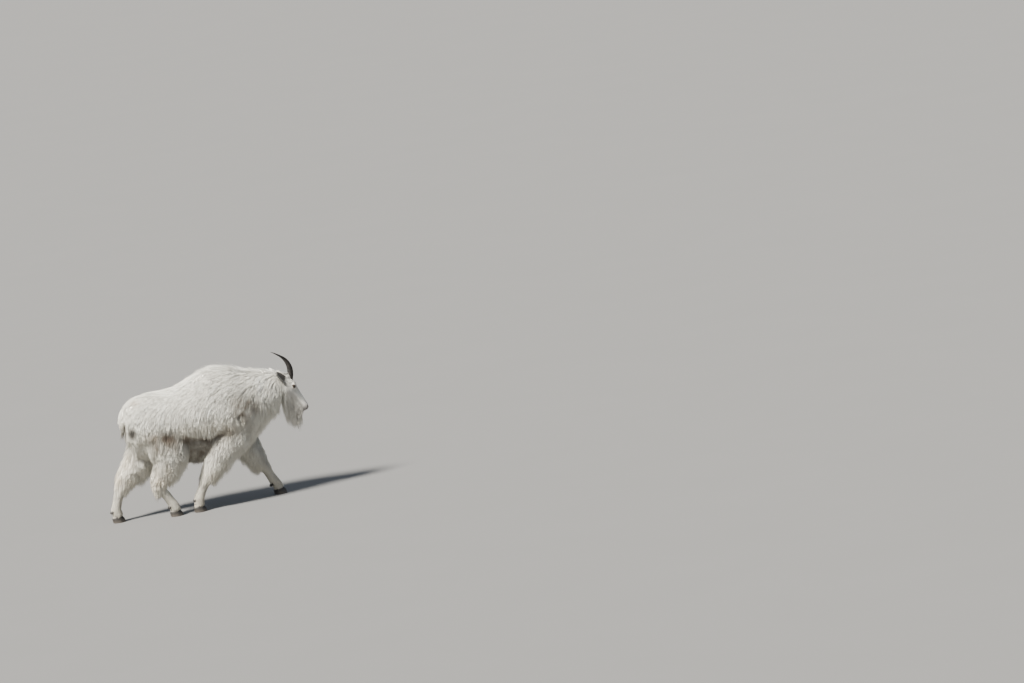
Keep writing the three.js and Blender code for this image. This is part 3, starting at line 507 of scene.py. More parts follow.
def read_surface(surface, points, vectors=(), numbers=()):
    """For each point, the nearest place on a surface and the values of the surface's attributes there."""
    probe = link(new_mesh("probe", points))
    tree, flow, leave = node_tree("reader")
    nodes, wire = tree.nodes, tree.links.new
    info = nodes.new("GeometryNodeObjectInfo")
    info.inputs["Object"].default_value = surface
    near = nodes.new("GeometryNodeProximity")
    near.target_element = "FACES"
    wire(info.outputs["Geometry"], near.inputs[0])
    values = {"place": (near.outputs["Position"], "FLOAT_VECTOR")}
    for kind, names in (("FLOAT_VECTOR", vectors), ("FLOAT", numbers)):
        for name in names:
            held = nodes.new("GeometryNodeInputNamedAttribute")
            held.data_type = kind
            held.inputs["Name"].default_value = name
            sampled = nodes.new("GeometryNodeSampleNearestSurface")
            sampled.data_type = kind
            wire(info.outputs["Geometry"], sampled.inputs["Mesh"])
            wire(held.outputs["Attribute"], sampled.inputs["Value"])
            values[name] = (sampled.outputs["Value"], kind)
    for name, (socket, kind) in values.items():
        kept = nodes.new("GeometryNodeStoreNamedAttribute")
        kept.data_type = kind
        kept.domain = "POINT"
        kept.inputs["Name"].default_value = "read_" + name
        wire(flow, kept.inputs["Geometry"])
        wire(socket, kept.inputs["Value"])
        flow = kept.outputs["Geometry"]
    wire(flow, leave)
    mesh = after_nodes(probe, tree)
    found = {}
    for name, (_, kind) in values.items():
        width = 3 if kind == "FLOAT_VECTOR" else 1
        table = np.empty(len(points) * width, np.float32)
        mesh.attributes["read_" + name].data.foreach_get("vector" if width == 3 else "value", table)
        found[name] = table.reshape(-1, width).squeeze(-1 if width == 1 else ()).astype(float)
    bpy.data.meshes.remove(mesh)
    drop(probe)
    return found


def scatter(surface, spacing, share, seed):
    """Places on a surface at least a spacing apart, kept with the chance that the named attribute gives."""
    tree, flow, leave = node_tree("scatter")
    nodes, wire = tree.nodes, tree.links.new
    held = nodes.new("GeometryNodeInputNamedAttribute")
    held.data_type = "FLOAT"
    held.inputs["Name"].default_value = share
    spots = nodes.new("GeometryNodeDistributePointsOnFaces")
    spots.distribute_method = "POISSON"
    spots.inputs["Distance Min"].default_value = spacing
    spots.inputs["Density Max"].default_value = 5.0 / spacing ** 2
    spots.inputs["Seed"].default_value = seed
    points = nodes.new("GeometryNodePointsToVertices")
    wire(flow, spots.inputs["Mesh"])
    wire(held.outputs["Attribute"], spots.inputs["Density Factor"])
    wire(spots.outputs["Points"], points.inputs["Points"])
    wire(points.outputs["Mesh"], leave)
    mesh = after_nodes(surface, tree)
    table = places(mesh)
    bpy.data.meshes.remove(mesh)
    return table


# Flesh

# Shares of the coat's depth that the skin fills where the hair is long, where it is short, and besides on the
# crest, and how far the skin bulges over the top of the hoof.
LONG_SHARE, SHORT_SHARE, CREST_SHARE = 0.36, 0.6, 0.30
CORONET = 8.0
# How far a form's ends stand past its first and last stations.
CAP = 5.0


def sleekness(name, u):
    """1 where the coat is short, so that the skin lies nearer to its outside, and 0 where it is long."""
    if name == "head":
        return smooth(2.0, 3.4, u)
    if name in LIMBS:
        end = long_end(name)
        return smooth(end, end + 0.7, u)
    return np.zeros(np.shape(u))


def long_end(name):
    """Station at which the long hair of a limb ends."""
    return 5.4 if PART_OF[name] == FORELIMB else 6.8


def felt(name, u, v_cos):
    """Share of the coat's depth that the skin fills, as the dense wool under the hair does."""
    share = mix(0.0 if name == "head" else LONG_SHARE, SHORT_SHARE, sleekness(name, u))
    if name in ("torso", "neck"):
        share = share + CREST_SHARE * smooth(0.3, 0.95, v_cos)
    return share


def swell(name, form, u, v_cos):
    """How far the skin lies outside the flesh: a share of the coat, and inwards under the flank, where the long
    hair hangs free of the belly."""
    extra = felt(name, u, v_cos) * form.coat(u, v_cos)
    if name in LIMBS:
        extra = extra + CORONET * smooth(form.last - 1.0, form.last - 0.1, u)
    if name == "torso":
        x = form.read(0, u)
        hollow = bell((v_cos, -0.52, 0.26)) * smooth(-330, -230, x) * smooth(130, 30, x)
        extra = mix(extra, -32, hollow)
    return extra


def loft(name, form, rings, sides):
    """The form's flesh as a closed tube that keeps the station and the turn of each point."""
    u, v = np.meshgrid(np.linspace(0, form.last, rings), np.arange(sides) / sides, indexing="ij")
    ends = [form.table[i, PLACE] + form.frame(np.array(float(i)))[0] * cap
            for i, cap in ((0, -CAP), (form.last, CAP))]
    mesh = tube(name, form.at(u, v, swell(name, form, u, np.cos(2 * np.pi * v))), *ends)
    stations = np.concatenate([u.ravel(), [0, form.last]])
    angle = np.concatenate([v.ravel(), [0.25, 0.25]]) * 2 * np.pi
    store(mesh, "form", np.full(len(stations), FORM_ORDER.index(name)), "FLOAT")
    store(mesh, "station", stations, "FLOAT")
    store(mesh, "turn_cos", np.cos(angle), "FLOAT")
    return mesh


def ellipsoid(name, centre, radii, rows=16, sides=24):
    """A closed egg: centre + radii * (cos a sin b, sin a sin b, cos b)."""
    pole = 0.06
    b, a = np.meshgrid(np.linspace(pole, np.pi - pole, rows), turns(sides), indexing="ij")
    grid = np.stack([np.cos(a) * np.sin(b), np.sin(a) * np.sin(b), np.cos(b)], axis=-1) * np.array(radii)
    ends = [np.array(centre) + np.array([0, 0, side * radii[2]]) for side in SIDES]
    return tube(name, np.array(centre) + grid, *ends)


def rod(name, points, radii, rings=24, sides=20):
    """A round bar whose middle and radius follow curves through a few points and radii, with a blunt cone of
    0.3 of the radius on each end."""
    blunt = 0.3
    u = np.linspace(0, len(points) - 1, rings)
    middle = curve(points, u)
    along = unit(np.gradient(middle, axis=0))
    out = unit(np.cross(along, np.where(np.abs(along[:, 1:2]) < 0.9, LEFT, UP)))
    other = np.cross(along, out)
    angle = turns(sides)
    radius = curve(radii, u)[:, None, None]
    grid = (middle[:, None] + radius * (out[:, None] * np.cos(angle)[None, :, None]
                                        + other[:, None] * np.sin(angle)[None, :, None]))
    return tube(name, grid, middle[0] - along[0] * radii[0] * blunt, middle[-1] + along[-1] * radii[-1] * blunt)


EAR_LENGTH, EAR_WIDTH, EAR_WALL = 126.0, 44.0, 4.6
EAR_TIP = (502, 118, 862)
EAR_ROOT = (24, -2, 46)
# How deep the ear starts under the head, which way its cup opens, and half the angle that the cup goes round,
# at the root and at the tip.
EAR_SUNK = 26.0
EAR_OPENING = (0.75, 0.62, 0.1)
EAR_FOLDS = (1.35, 0.65)


def ear_axes(side):
    """The root of an ear, and the directions along it, out of its cup and across it."""
    root = head_point(EAR_ROOT[0], EAR_ROOT[1], side * EAR_ROOT[2])
    along = unit(np.array([EAR_TIP[0], side * EAR_TIP[1], EAR_TIP[2]], float) - root)
    mouth = np.array(EAR_OPENING) * (1, side, 1)
    mouth = unit(mouth - along * (mouth @ along))
    return root, along, mouth, unit(np.cross(along, mouth))


def along_ear(points, side):
    """Share of an ear's length at which points lie, and their distance from its middle line."""
    root, along, *_ = ear_axes(side)
    away = points / MM - root
    return away @ along / EAR_LENGTH, np.linalg.norm(away - np.outer(away @ along, along), axis=1)


def ear(side):
    """An ear: a leaf of breadth ~ sin(pi s^0.75)^0.8 folded round its length into a cup with a wall."""
    root, along, mouth, across = ear_axes(side)
    s, w = np.meshgrid(np.linspace(0, 0.985, 26), np.linspace(-1, 1, 17), indexing="ij")

    def leaf(s, w, wall):
        breadth = 0.5 * EAR_WIDTH * (np.sin(np.pi * (0.14 + 0.86 * s) ** 0.75) ** 0.8 + 0.03)
        fold = mix(*EAR_FOLDS, s)
        angle = w * fold
        radius = breadth / np.sin(fold)
        lift = radius * (1 - np.cos(angle)) - wall * np.cos(angle) - 0.3 * radius
        return (root + along * mix(-EAR_SUNK, EAR_LENGTH, s)[..., None]
                + across * ((radius + wall) * np.sin(angle))[..., None] + mouth * lift[..., None])

    grid = np.concatenate([leaf(s, w, EAR_WALL), leaf(s, -w, 0.0)], axis=1)
    ends = [leaf(np.array(t), np.array(0.0), EAR_WALL / 2) for t in (0.0, 1.0)]
    return tube("ear", grid, ends[0], ends[1])


# Half the line of the lips and one nostril's hollow, by the head's own axes.
MOUTH = [(188, -22, 39), (204, -24, 36.5), (222, -25, 34.6), (246, -25, 33.6), (262, -24, 27), (271, -24, 14),
         (275, -24, 0)]
NOSTRIL = [(248, 18, 29), (256, 15, 26.5), (263, 9, 22), (270, 1, 15.5)]
# A fold's height, the middle and reach of its bell along the head's axis and above it, and the distances from
# the middle of the head at which it starts and is full.
FACE_FOLDS = {
    "cheek": (3.5, (60, 34), (-45, 26), (20, 45)),
    "brow": (3.0, (66, 17), (30, 9), (20, 40)),
    "hollow under the eye": (-2.5, (122, 22), (8, 12), (15, 34)),
}


def mouth_line():
    """The line of the lips, from one corner of the mouth round to the other."""
    half = np.array([head_point(*place) for place in MOUTH])
    return np.concatenate([half, half[-2::-1] * (1, -1, 1)])


def fine_head(head):
    """Splits the faces round the eyes, the nose and the mouth in four, for the folds that follow."""
    edit = bmesh.new()
    edit.from_mesh(head)
    spots = [(*eye_axes(side)[0], 27) for side in SIDES] + [(*head_point(262, -8), 40)]
    corners = np.array([vertex.co for vertex in edit.verts]) / MM
    near = np.zeros(len(corners), bool)
    for x, y, z, reach in spots:
        near |= np.linalg.norm(corners - (x, y, z), axis=1) < reach
    edges = [edge for edge in edit.edges if near[edge.verts[0].index] and near[edge.verts[1].index]]
    bmesh.ops.subdivide_edges(edit, edges=edges, cuts=1, use_grid_fill=True)
    edit.to_mesh(head)
    edit.free()


def eye_axes(side):
    """The middle of an eye, and the directions out of it, along its opening and across the opening."""
    centre = head_point(EYE_PLACE[0], EYE_PLACE[1], side * EYE_PLACE[2])
    gaze = unit(np.array([0.3, side, -0.05]))
    slant = mix(NOSEWARD, BROWWARD, 0.35)
    lengthwise = unit(slant - gaze * (slant @ gaze))
    rising = unit(np.cross(gaze, lengthwise))
    return centre, gaze, lengthwise, rising if rising @ BROWWARD > 0 else -rising


def eye_opening(points, side):
    """How far a point is from the middle of the eye's opening, and its place across the opening. The edge of
    the lids is at 1: (a / 0.84)^2 + (b / height)^2 = 1, an almond on the eyeball, with a along it and b
    across it."""
    centre, gaze, lengthwise, rising = eye_axes(side)
    away = unit(points / MM - centre)
    a, b, facing = away @ lengthwise, away @ rising, away @ gaze
    b = b + 0.16 * a * np.abs(a) - 0.03
    height = np.where(b > 0, 0.50, 0.44) * np.sqrt(np.clip(1 - 0.55 * (a / 0.84) ** 2, 0.05, 1))
    almond = np.sqrt((a / 0.84) ** 2 + (b / height) ** 2)
    return almond + 5 * smooth(0.50, 0.22, facing), b


def fold_head(head):
    """The face's folds, as moves along the normals and about the eyes: brow, cheeks, lips, nose and lids."""
    points = places(head)
    normals = outward(head)
    along, above, left = head_axes(points)
    move = np.zeros(len(points))

    for height, lengthwise, upward, (start, full) in FACE_FOLDS.values():
        move += height * bell((along, *lengthwise), (above, *upward)) * smooth(start, full, np.abs(left))
    # A ridge of bone from the eye to the nose.
    move += 1.6 * bell((above, -6, 5)) * smooth(105, 135, along) * smooth(205, 165, along)

    # Lips and the line between them.
    distance, _ = near_line(points / MM, mouth_line())
    edge = smooth(0, 14, along - 186)
    move += (1.6 * bell((distance, 6.0, 3.2)) - 3.6 * bell((distance, 0, 1.7))) * edge

    # Nostrils, their wings, and the groove under the nose.
    for side in SIDES:
        line = np.array([head_point(a, b, side * c) for a, b, c in NOSTRIL])
        distance, where = near_line(points / MM, line)
        bore = 3.4 + 1.2 * np.sin(np.pi * where)
        move += 1.5 * bell((distance - bore, 3.5, 2.4))
        move -= 8.5 * smooth(bore + 0.6, bore - 2.2, distance)
    groove = bell((left, 0, 1.6)) * smooth(262, 268, along) * smooth(6, -2, above) * smooth(-26, -20, above)
    move -= 1.6 * groove
    points = points + normals * move[:, None] * MM

    # Lids: a rolled edge round the opening, a fold above it, one below it, and the ball's socket inside.
    for side in SIDES:
        centre = eye_axes(side)[0]
        almond, b = eye_opening(points, side)
        away = points / MM - centre
        reach = np.linalg.norm(away, axis=1)
        near = (almond < 4) & (reach < LID_REACH)
        rim = EYE_RADIUS + LID_THICKNESS - 0.5 * smooth(1.0, 1.15, almond) + 0.5 * smooth(1.15, 1.5, almond)
        socket = EYE_RADIUS - 2.5
        wanted = mix(np.full(len(points), socket), rim, smooth(0.9, 1.02, almond))
        wanted -= 1.3 * bell((almond, 1.75, 0.16)) * smooth(-0.05, 0.2, b)
        wanted -= 0.7 * bell((almond, 1.65, 0.14)) * smooth(0.0, -0.2, b)
        hold = near * smooth(2.3, 1.5, almond) * smooth(31, 25, reach)
        target = mix(reach, np.minimum(wanted, np.where(almond < 1.3, wanted, np.maximum(reach, wanted))), hold)
        points = centre * MM + unit(away) * target[:, None] * MM
    set_places(head, points)


# Soft bars that fill out the head: places by the head's own axes, and radii. The collar is round the foot of
# the horn.
MIDDLE_RODS = [
    ("pad", [(254, 13, -14), (263, 9, -9), (267, 2, 0), (263, 9, 9), (254, 13, 14)], [6, 8, 9.5, 8, 6]),
    ("chin", [(232, -26), (252, -32), (267, -31)], [14, 13.5, 8]),
]
SIDE_RODS = [
    ("brow", [(42, 21, 32), (62, 27, 39), (86, 27, 40), (112, 18, 32)], [13, 15, 14, 10]),
    ("under_eye", [(56, -6, 50), (84, -10, 49), (112, -6, 41)], [8, 9, 7]),
    ("collar", [(18, 20, 22), (22, 38, 22)], [20, 16.5]),
]
HEAD_VOXEL, BODY_VOXEL = 2.1 * MM, 7.7 * MM
# The soft bulbs of the heel, over the low rear of the claws: their distance behind the toe, height and radii.
HEEL_BACK, HEEL_HEIGHT, HEEL_RADII = 62, 37, (19, 27, 15)


def head_mesh():
    """The head and ears as one fine closed surface."""
    forms = [loft("head", FORMS["head"], 80, 72), ear(1), ear(-1)]
    for name, line, radii in MIDDLE_RODS:
        forms.append(rod(name, [head_point(*place) for place in line], radii))
    for side in SIDES:
        forms.append(ellipsoid("orbit", eye_axes(side)[0], [EYE_RADIUS + LID_THICKNESS] * 3, 24, 32))
        for name, line, radii in SIDE_RODS:
            forms.append(rod(name, [head_point(a, b, side * c) for a, b, c in line], radii))
    head = with_modifiers(
        join("head", forms),
        ("REMESH", {"mode": "VOXEL", "voxel_size": HEAD_VOXEL, "use_smooth_shade": True}),
        ("SMOOTH", {"factor": 0.6, "iterations": 7}),
    )
    fine_head(head)
    fold_head(head)
    return with_modifiers(head, ("SMOOTH", {"factor": 0.4, "iterations": 2}))


def body_mesh():
    """Torso, neck, tail and limbs as one closed surface."""
    forms = [loft(name, form, 70, 44) for name, form in FORMS.items() if name != "head"]
    for limb in LIMBS.values():
        heel = (limb["toe"] - HEEL_BACK, limb["side"] * FETLOCK_TRACK, HEEL_HEIGHT)
        forms.append(ellipsoid("heel", heel, HEEL_RADII))
    return with_modifiers(
        join("body", forms),
        ("REMESH", {"mode": "VOXEL", "voxel_size": BODY_VOXEL, "use_smooth_shade": True}),
        ("SMOOTH", {"factor": 0.6, "iterations": 5}),
    )


def unite(first, second):
    """The union of two closed meshes as one closed mesh."""
    other = link(second)
    whole = with_modifiers(first, ("BOOLEAN", {"operation": "UNION", "object": other, "solver": "MANIFOLD"}))
    drop(other)
    return whole


# Markings, the same for skin and coat, stains and painted shade: colours in linear light, with the places in
# millimetres

CREAM = (0.87, 0.845, 0.745)
MARKINGS = [
    # Name, colour, strength, centre (y is the distance from the middle), radii, and the sides that it is on: 0
    # for both, -1 for the right and 1 for the left.
    ("lower flank", (0.62, 0.55, 0.42), 0.45, (-60, 170, 520), (420, 90, 70), 0),
    # The belly's dark is painted shade under the flank's hanging hair, over its own brown-grey.
    ("belly", (0.19, 0.155, 0.12), 0.95, (-70, 0, 430), (270, 170, 85), 0),
    # Painted shade in the hollow of the flank under the hanging hair, deeper on the near side than the far.
    ("flank hollow's painted shade", (0.15, 0.115, 0.085), 0.9, (-60, 120, 495), (180, 60, 42), -1),
    ("far flank hollow's painted shade", (0.22, 0.18, 0.14), 0.5, (-60, 120, 480), (150, 60, 40), 1),
    # Brown shed coat along the lower edge of the flank's long hair, deepened with painted shade under that
    # edge.
    ("shed coat and painted shade, rear", (0.34, 0.24, 0.155), 0.75, (-378, 165, 560), (50, 60, 26), -1),
    ("shed coat and painted shade", (0.17, 0.125, 0.09), 1.25, (-312, 170, 534), (62, 60, 27), -1),
    ("shed coat and painted shade, below", (0.20, 0.16, 0.12), 0.8, (-335, 150, 482), (70, 60, 38), -1),
    ("shed coat and painted shade, front", (0.22, 0.175, 0.13), 0.85, (-165, 175, 512), (95, 60, 25), -1),
    ("shed coat and painted shade, left", (0.36, 0.28, 0.20), 0.35, (-300, 165, 515), (90, 60, 26), 1),
    # A brown spot among the shoulder's clumps, deepened with painted shade between them.
    ("shoulder's brown spot and painted shade", (0.13, 0.085, 0.055), 1.1, (272, 110, 676), (22, 60, 17), -1),
    ("shoulder smudge", (0.36, 0.29, 0.22), 0.40, (240, 130, 620), (60, 70, 40), 0),
    ("elbow", (0.40, 0.33, 0.25), 0.40, (120, 150, 520), (60, 60, 40), 0),
    ("tail root", (0.42, 0.29, 0.18), 0.60, (-463, 40, 772), (30, 40, 26), 0),
    # Painted shade in the cleft under the tail.
    ("painted shade below the tail", (0.16, 0.11, 0.09), 0.80, (-520, 0, 610), (40, 24, 42), 0),
    ("thigh's rear edge", (0.56, 0.44, 0.27), 0.40, (-560, 60, 420), (60, 90, 130), 0),
    ("far hock", (0.46, 0.34, 0.20), 0.50, (-630, 82, 290), (45, 60, 60), 1),
    ("near hock", (0.46, 0.34, 0.20), 0.55, (-395, 84, 262), (50, 60, 45), -1),
    ("near thigh", (0.58, 0.50, 0.37), 0.35, (-340, 120, 330), (90, 80, 50), -1),
    ("fore knees", (0.52, 0.44, 0.32), 0.30, (-30, 86, 240), (50, 60, 40), 0),
    ("fetlocks", (0.48, 0.41, 0.31), 0.40, (-120, 80, 70), (70, 70, 45), -1),
    # Painted shadow: a near-black spot for the deep gap between the tail's hair and the thigh's.
    ("painted shadow in the rump's notch", (0.022, 0.018, 0.015), 2.6, (-506, 112, 600), (15, 60, 25), -1),
    ("shoulder, upper spots", (0.42, 0.37, 0.29), 0.50, (215, 150, 690), (90, 60, 50), 0),
    ("shoulder, lower spots", (0.34, 0.28, 0.21), 0.45, (330, 100, 640), (40, 60, 46), 0),
    ("throat", (0.46, 0.42, 0.36), 0.30, (530, 0, 610), (40, 60, 60), 0),
]
MUZZLE_GREY = (0.36, 0.335, 0.31)
NOSE_BLACK = (0.022, 0.020, 0.019)
LID_BLACK = (0.030, 0.024, 0.020)
# The ear's cup: its own dark inner edge, deepened with painted shade in the hollow of the cup.
EAR_CUP_DARK_AND_SHADE = (0.13, 0.10, 0.08)
FACE_WHITE = (0.82, 0.79, 0.71)
LEG_CREAM = (0.60, 0.535, 0.415)
EYE_RING_BROWN = (0.30, 0.26, 0.22)
# Clotted wool on the shoulders: small dark spots within radii of a centre.
CLOT_BROWN, CLOTS_CENTRE, CLOTS_RADII = (0.20, 0.155, 0.11), (238, 150, 628), (78, 90, 84)


def bare_nose(points):
    """1 on the hairless nose, in the nostrils and along the lips, 0 on the coat."""
    along, above, left = head_axes(points)
    pad = smooth(250, 258, along) * smooth(-14, -6, above) * smooth(27, 20, above)
    pad = pad * smooth(30, 24, np.abs(left))
    distance, _ = near_line(points / MM, mouth_line())
    lips = smooth(4.5, 2.0, distance) * smooth(195, 225, along)
    return np.maximum(pad, lips) * (np.linalg.norm(points / MM - head_point(250, -5), axis=1) < 95)


def markings(points, part, ears_dark_and_shade):
    """Colour of skin and coat at each place: cream, with soft stains, painted shade in the flank's hollows,
    under the tail and on the belly, and the face's own darks. A mark's share is its strength by e^-d, with d
    the squared distance from its centre in radii, made uneven."""
    colour = np.tile(np.array(CREAM), (len(points), 1))
    spots = points / MM
    folded = np.stack([spots[:, 0], np.abs(spots[:, 1]), spots[:, 2]], axis=1)
    uneven = np.clip(1 + 0.32 * ripple(points, 0.09, 3) + 0.22 * ripple(points, 0.028, 4), 0.3, 1.5)
    low = smooth(420, 60, spots[:, 2])[:, None]
    colour = mix(colour, np.array(LEG_CREAM), 0.55 * low)
    for _, tone, strength, centre, radii, sides in MARKINGS:
        away = (folded - centre) / radii
        share = strength * np.exp(-np.sum(away ** 2, axis=1)) * uneven
        if sides:
            share = share * (np.sign(spots[:, 1]) == sides)
        colour = mix(colour, np.array(tone), np.clip(share, 0, 0.95)[:, None])
    away = (folded - CLOTS_CENTRE) / CLOTS_RADII
    clots = np.exp(-np.sum(away ** 2, axis=1)) * smooth(0.15, 0.75, ripple(points, 0.055, 9))
    colour = mix(colour, np.array(CLOT_BROWN), (0.95 * clots)[:, None])
    along, above, left = head_axes(points)
    head = ((part == HEAD) | (part == EAR))[:, None]
    face = colour * 0 + np.array(FACE_WHITE)
    face = mix(face, np.array(MUZZLE_GREY), (smooth(200, 262, along) * smooth(-60, -10, above))[:, None])
    colour = np.where(head & (along > 20)[:, None] & (above > -95)[:, None], face, colour)
    for side in SIDES:
        almond, _ = eye_opening(points, side)
        near = np.linalg.norm(spots - eye_axes(side)[0], axis=1) < LID_REACH
        colour = mix(colour, np.array(EYE_RING_BROWN), (0.6 * near * smooth(2.4, 1.4, almond))[:, None])
        colour = mix(colour, np.array(LID_BLACK), (near * smooth(1.5, 1.2, almond))[:, None])
    # The ears' cups darkened: their own dark edge and painted shade in the hollow.
    colour = mix(colour, np.array(EAR_CUP_DARK_AND_SHADE), np.clip(ears_dark_and_shade, 0, 1)[:, None])
    return mix(colour, np.array(NOSE_BLACK), bare_nose(points)[:, None])


def ear_cup_dark_and_shade(points, normals):
    """Share of the dark of an ear's cup, its own dark inner edge deepened with painted shade in the hollow:
    most where the skin faces out of the cup, and 0 on the ear's back.
    """
    share = np.zeros(len(points))
    for side in SIDES:
        s, off = along_ear(points, side)
        mouth = ear_axes(side)[2]
        inside = smooth(0.0, 0.6, normals @ mouth) * smooth(1.05, 0.75, s) * smooth(0.0, 0.12, s)
        share = np.maximum(share, 0.85 * inside * smooth(36, 30, off))
    return share


# Fields of the coat on the skin

# Height of the beard's lower edge at places along the animal.
BEARD_EDGE = ([515, 530, 560, 600, 636, 652, 684], [505, 466, 440, 434, 452, 488, 534])


# A turn round the torso as its cosine (-1 below, 1 above), and the length of the hair there.
TORSO_LENGTHS = ([-1, -0.7, -0.35, -0.1, 0.1, 0.35, 0.65, 1], [88, 80, 84, 112, 132, 122, 110, 116])
NECK_LENGTHS = ([-1, -0.4, 0.3, 1], [115, 110, 100, 114])
# A turn round a limb as its cosine (-1 behind, 1 in front), and the length of the hair there.
LIMB_TURNS = [-1, -0.5, 0, 0.6, 1]
LIMB_LENGTHS = {FORELIMB: [132, 112, 92, 100, 112], HINDLIMB: [134, 108, 92, 104, 120]}
LIMB_CURL = {FORELIMB: 0.45, HINDLIMB: 0.9}
# A place along the head's axis, and the length of the hair there.
HEAD_LENGTHS = ([-20, 20, 45, 70, 120, 200, 275], [52, 42, 24, 13, 10, 8, 5])
# Middle and reach of the curly wool of the shoulder, along the animal and upwards.
SHOULDER = ((215, 110), (620, 120))
USUAL_CURL = 0.25


def swept(direction, c):
    """The lie on the back: from down the side to backwards along the crest."""
    crest = smooth(-0.1, 1.0, c)[:, None]
    return direction + crest * np.array([-0.8, 0.0, 0.6])


def torso_hair(hair, name, u, c, points):
    """Longest on the flank, where it hangs free over the belly, and curly on the shoulder."""
    x, _, z = (points / MM).T
    hair["length"] = np.interp(c, *TORSO_LENGTHS) * mix(1.0, 1.15, smooth(1.8, 0.4, u))
    hair["depth"] = hair["depth"] * mix(1.0, 1.58, smooth(0.4, 0.95, c)) * mix(1.0, 1.2, smooth(1.6, 0.4, u))
    hair["lie"] = swept(hair["lie"], c)
    flank = 0.85 * smooth(-0.30, -0.05, c) * smooth(0.5, 0.15, c)
    hair["drape"] = flank * smooth(-330, -230, x) * smooth(170, 60, x)
    shoulder = bell((x, *SHOULDER[0]), (z, *SHOULDER[1]))
    hair["curl"] = hair["curl"] + 0.85 * shoulder + 0.3 * smooth(3, 1, u)
    hair["length"] = hair["length"] * (1 - 0.28 * shoulder)


def neck_hair(hair, name, u, c, points):
    """Shorter towards the head, over a deep crest."""
    hair["length"] = np.interp(c, *NECK_LENGTHS) * mix(1.0, 0.78, smooth(3.5, 5, u))
    hair["depth"] = hair["depth"] * mix(1.0, mix(1.80, 1.4, smooth(3.0, 4.6, u)), smooth(0.3, 0.95, c))
    hair["lie"] = swept(hair["lie"], c)
    hair["curl"] = hair["curl"] + 0.35 * smooth(2.5, 0.5, u)


def tail_hair(hair, name, u, c, points):
    """A brush that lies along the tail."""
    hair["length"] = np.full(len(u), 95.0)
    hair["depth"] = hair["depth"] * 1.6
    hair["curl"] = hair["curl"] + 0.5
    hair["lie"] = mix(hair["lie"], FORMS[name].frame(u)[0], 0.6)


def head_hair(hair, name, u, c, points):
    """Short and shorter towards the nose, with a longer crown, long hair at the sides, and the beard."""
    x, _, z = (points / MM).T
    along, above, left = head_axes(points)
    length = np.interp(along, *HEAD_LENGTHS)
    crown = smooth(46, 8, along) * smooth(-10, 24, above)
    length = mix(length, 58, crown * smooth(34, 12, np.abs(left)))
    # The hair parts at a whorl on the forehead: to the nose, to the crown and down the sides.
    lie = (np.outer(np.clip((along - 84) / 34, -1, 1), NOSEWARD)
           + np.outer(np.clip(left / 42, -1, 1), LEFT)
           - np.outer(0.8 * smooth(12, 46, np.abs(left)), BROWWARD))
    cheek = smooth(0.1, -0.4, c)[:, None]
    hair["lie"] = mix(lie, np.array([-0.35, 0, -1.0]) + LEFT * (0.1 * left / 60)[:, None], cheek)
    jaw = smooth(-0.22, -0.58, c) * smooth(-5, 40, along) * smooth(272, 246, along)
    bottom = np.interp(x, *BEARD_EDGE) + 9 * np.sin(x / 8) - 6
    length = mix(length, 1.08 * np.clip(z - bottom, 40, 205), jaw)
    hair["drape"] = 0.9 * jaw
    side_hair = smooth(0.1, -0.35, c) * smooth(125, 45, along)
    hair["length"] = np.maximum(length, 50 * side_hair)
    hair["depth"] = np.maximum(mix(hair["depth"], 34.0, jaw), 16 * side_hair)
    hair["curl"] = hair["curl"] * 0.4


def limb_hair(hair, name, u, c, points):
    """Long down to the limb's long_end, then short, and longer again over the hoof."""
    form, part, end = FORMS[name], PART_OF[name], long_end(name)
    shaggy = smooth(end + 0.35, end - 0.8, u)
    front, rear = LIMBS[name]["drape"]
    drape = np.where(c > 0, front, rear) * np.abs(c) ** 1.5 * shaggy
    long = np.interp(c, LIMB_TURNS, LIMB_LENGTHS[part]) * mix(1.0, 0.75, smooth(end - 1.6, end, u))
    # Hair of the pastern falls over the top of the hoof.
    fetlock = smooth(form.last - 1.6, form.last - 0.5, u)
    hair["length"] = mix(mix(np.full(len(u), 21.0), long, shaggy), 38.0, fetlock)
    hair["depth"] = mix(hair["depth"] + 3 * sleekness(name, u), 15.0, smooth(form.last - 1.0, form.last, u))
    hair["drape"] = np.maximum(drape, 0.9 * smooth(form.last - 1.2, form.last - 0.3, u))
    down = np.maximum(0.5 * shaggy, fetlock)[:, None]
    lie = mix(form.frame(u)[0], np.array([-0.12, 0, -1.0]), down)
    hair["lie"] = mix(lie, hair["lie"], smooth(3.4, 1.6, u)[:, None])
    hair["curl"] = mix(0.05, LIMB_CURL[part], shaggy)


HAIR_OF = {TORSO: torso_hair, NECK: neck_hair, TAIL: tail_hair, HEAD: head_hair, FORELIMB: limb_hair,
           HINDLIMB: limb_hair}


def around_eye_and_horn(fields, points, side):
    """Turns the hair away from the eye all round, and past the foot of the horn, where it is short."""
    away = points / MM - eye_axes(side)[0]
    lie = unit(fields["lie"] + unit(away) * (1.5 * smooth(36, 20, np.linalg.norm(away, axis=1)))[:, None])
    horn = horn_foot(side)
    distance, where = near_line(points / MM, horn)
    foot = curve(horn, (len(horn) - 1) * where)
    fields["lie"] = unit(lie + unit(points / MM - foot) * (0.8 * smooth(34, 16, distance))[:, None])
    fields["length"] = mix(fields["length"], 16.0, smooth(24, 17, distance))


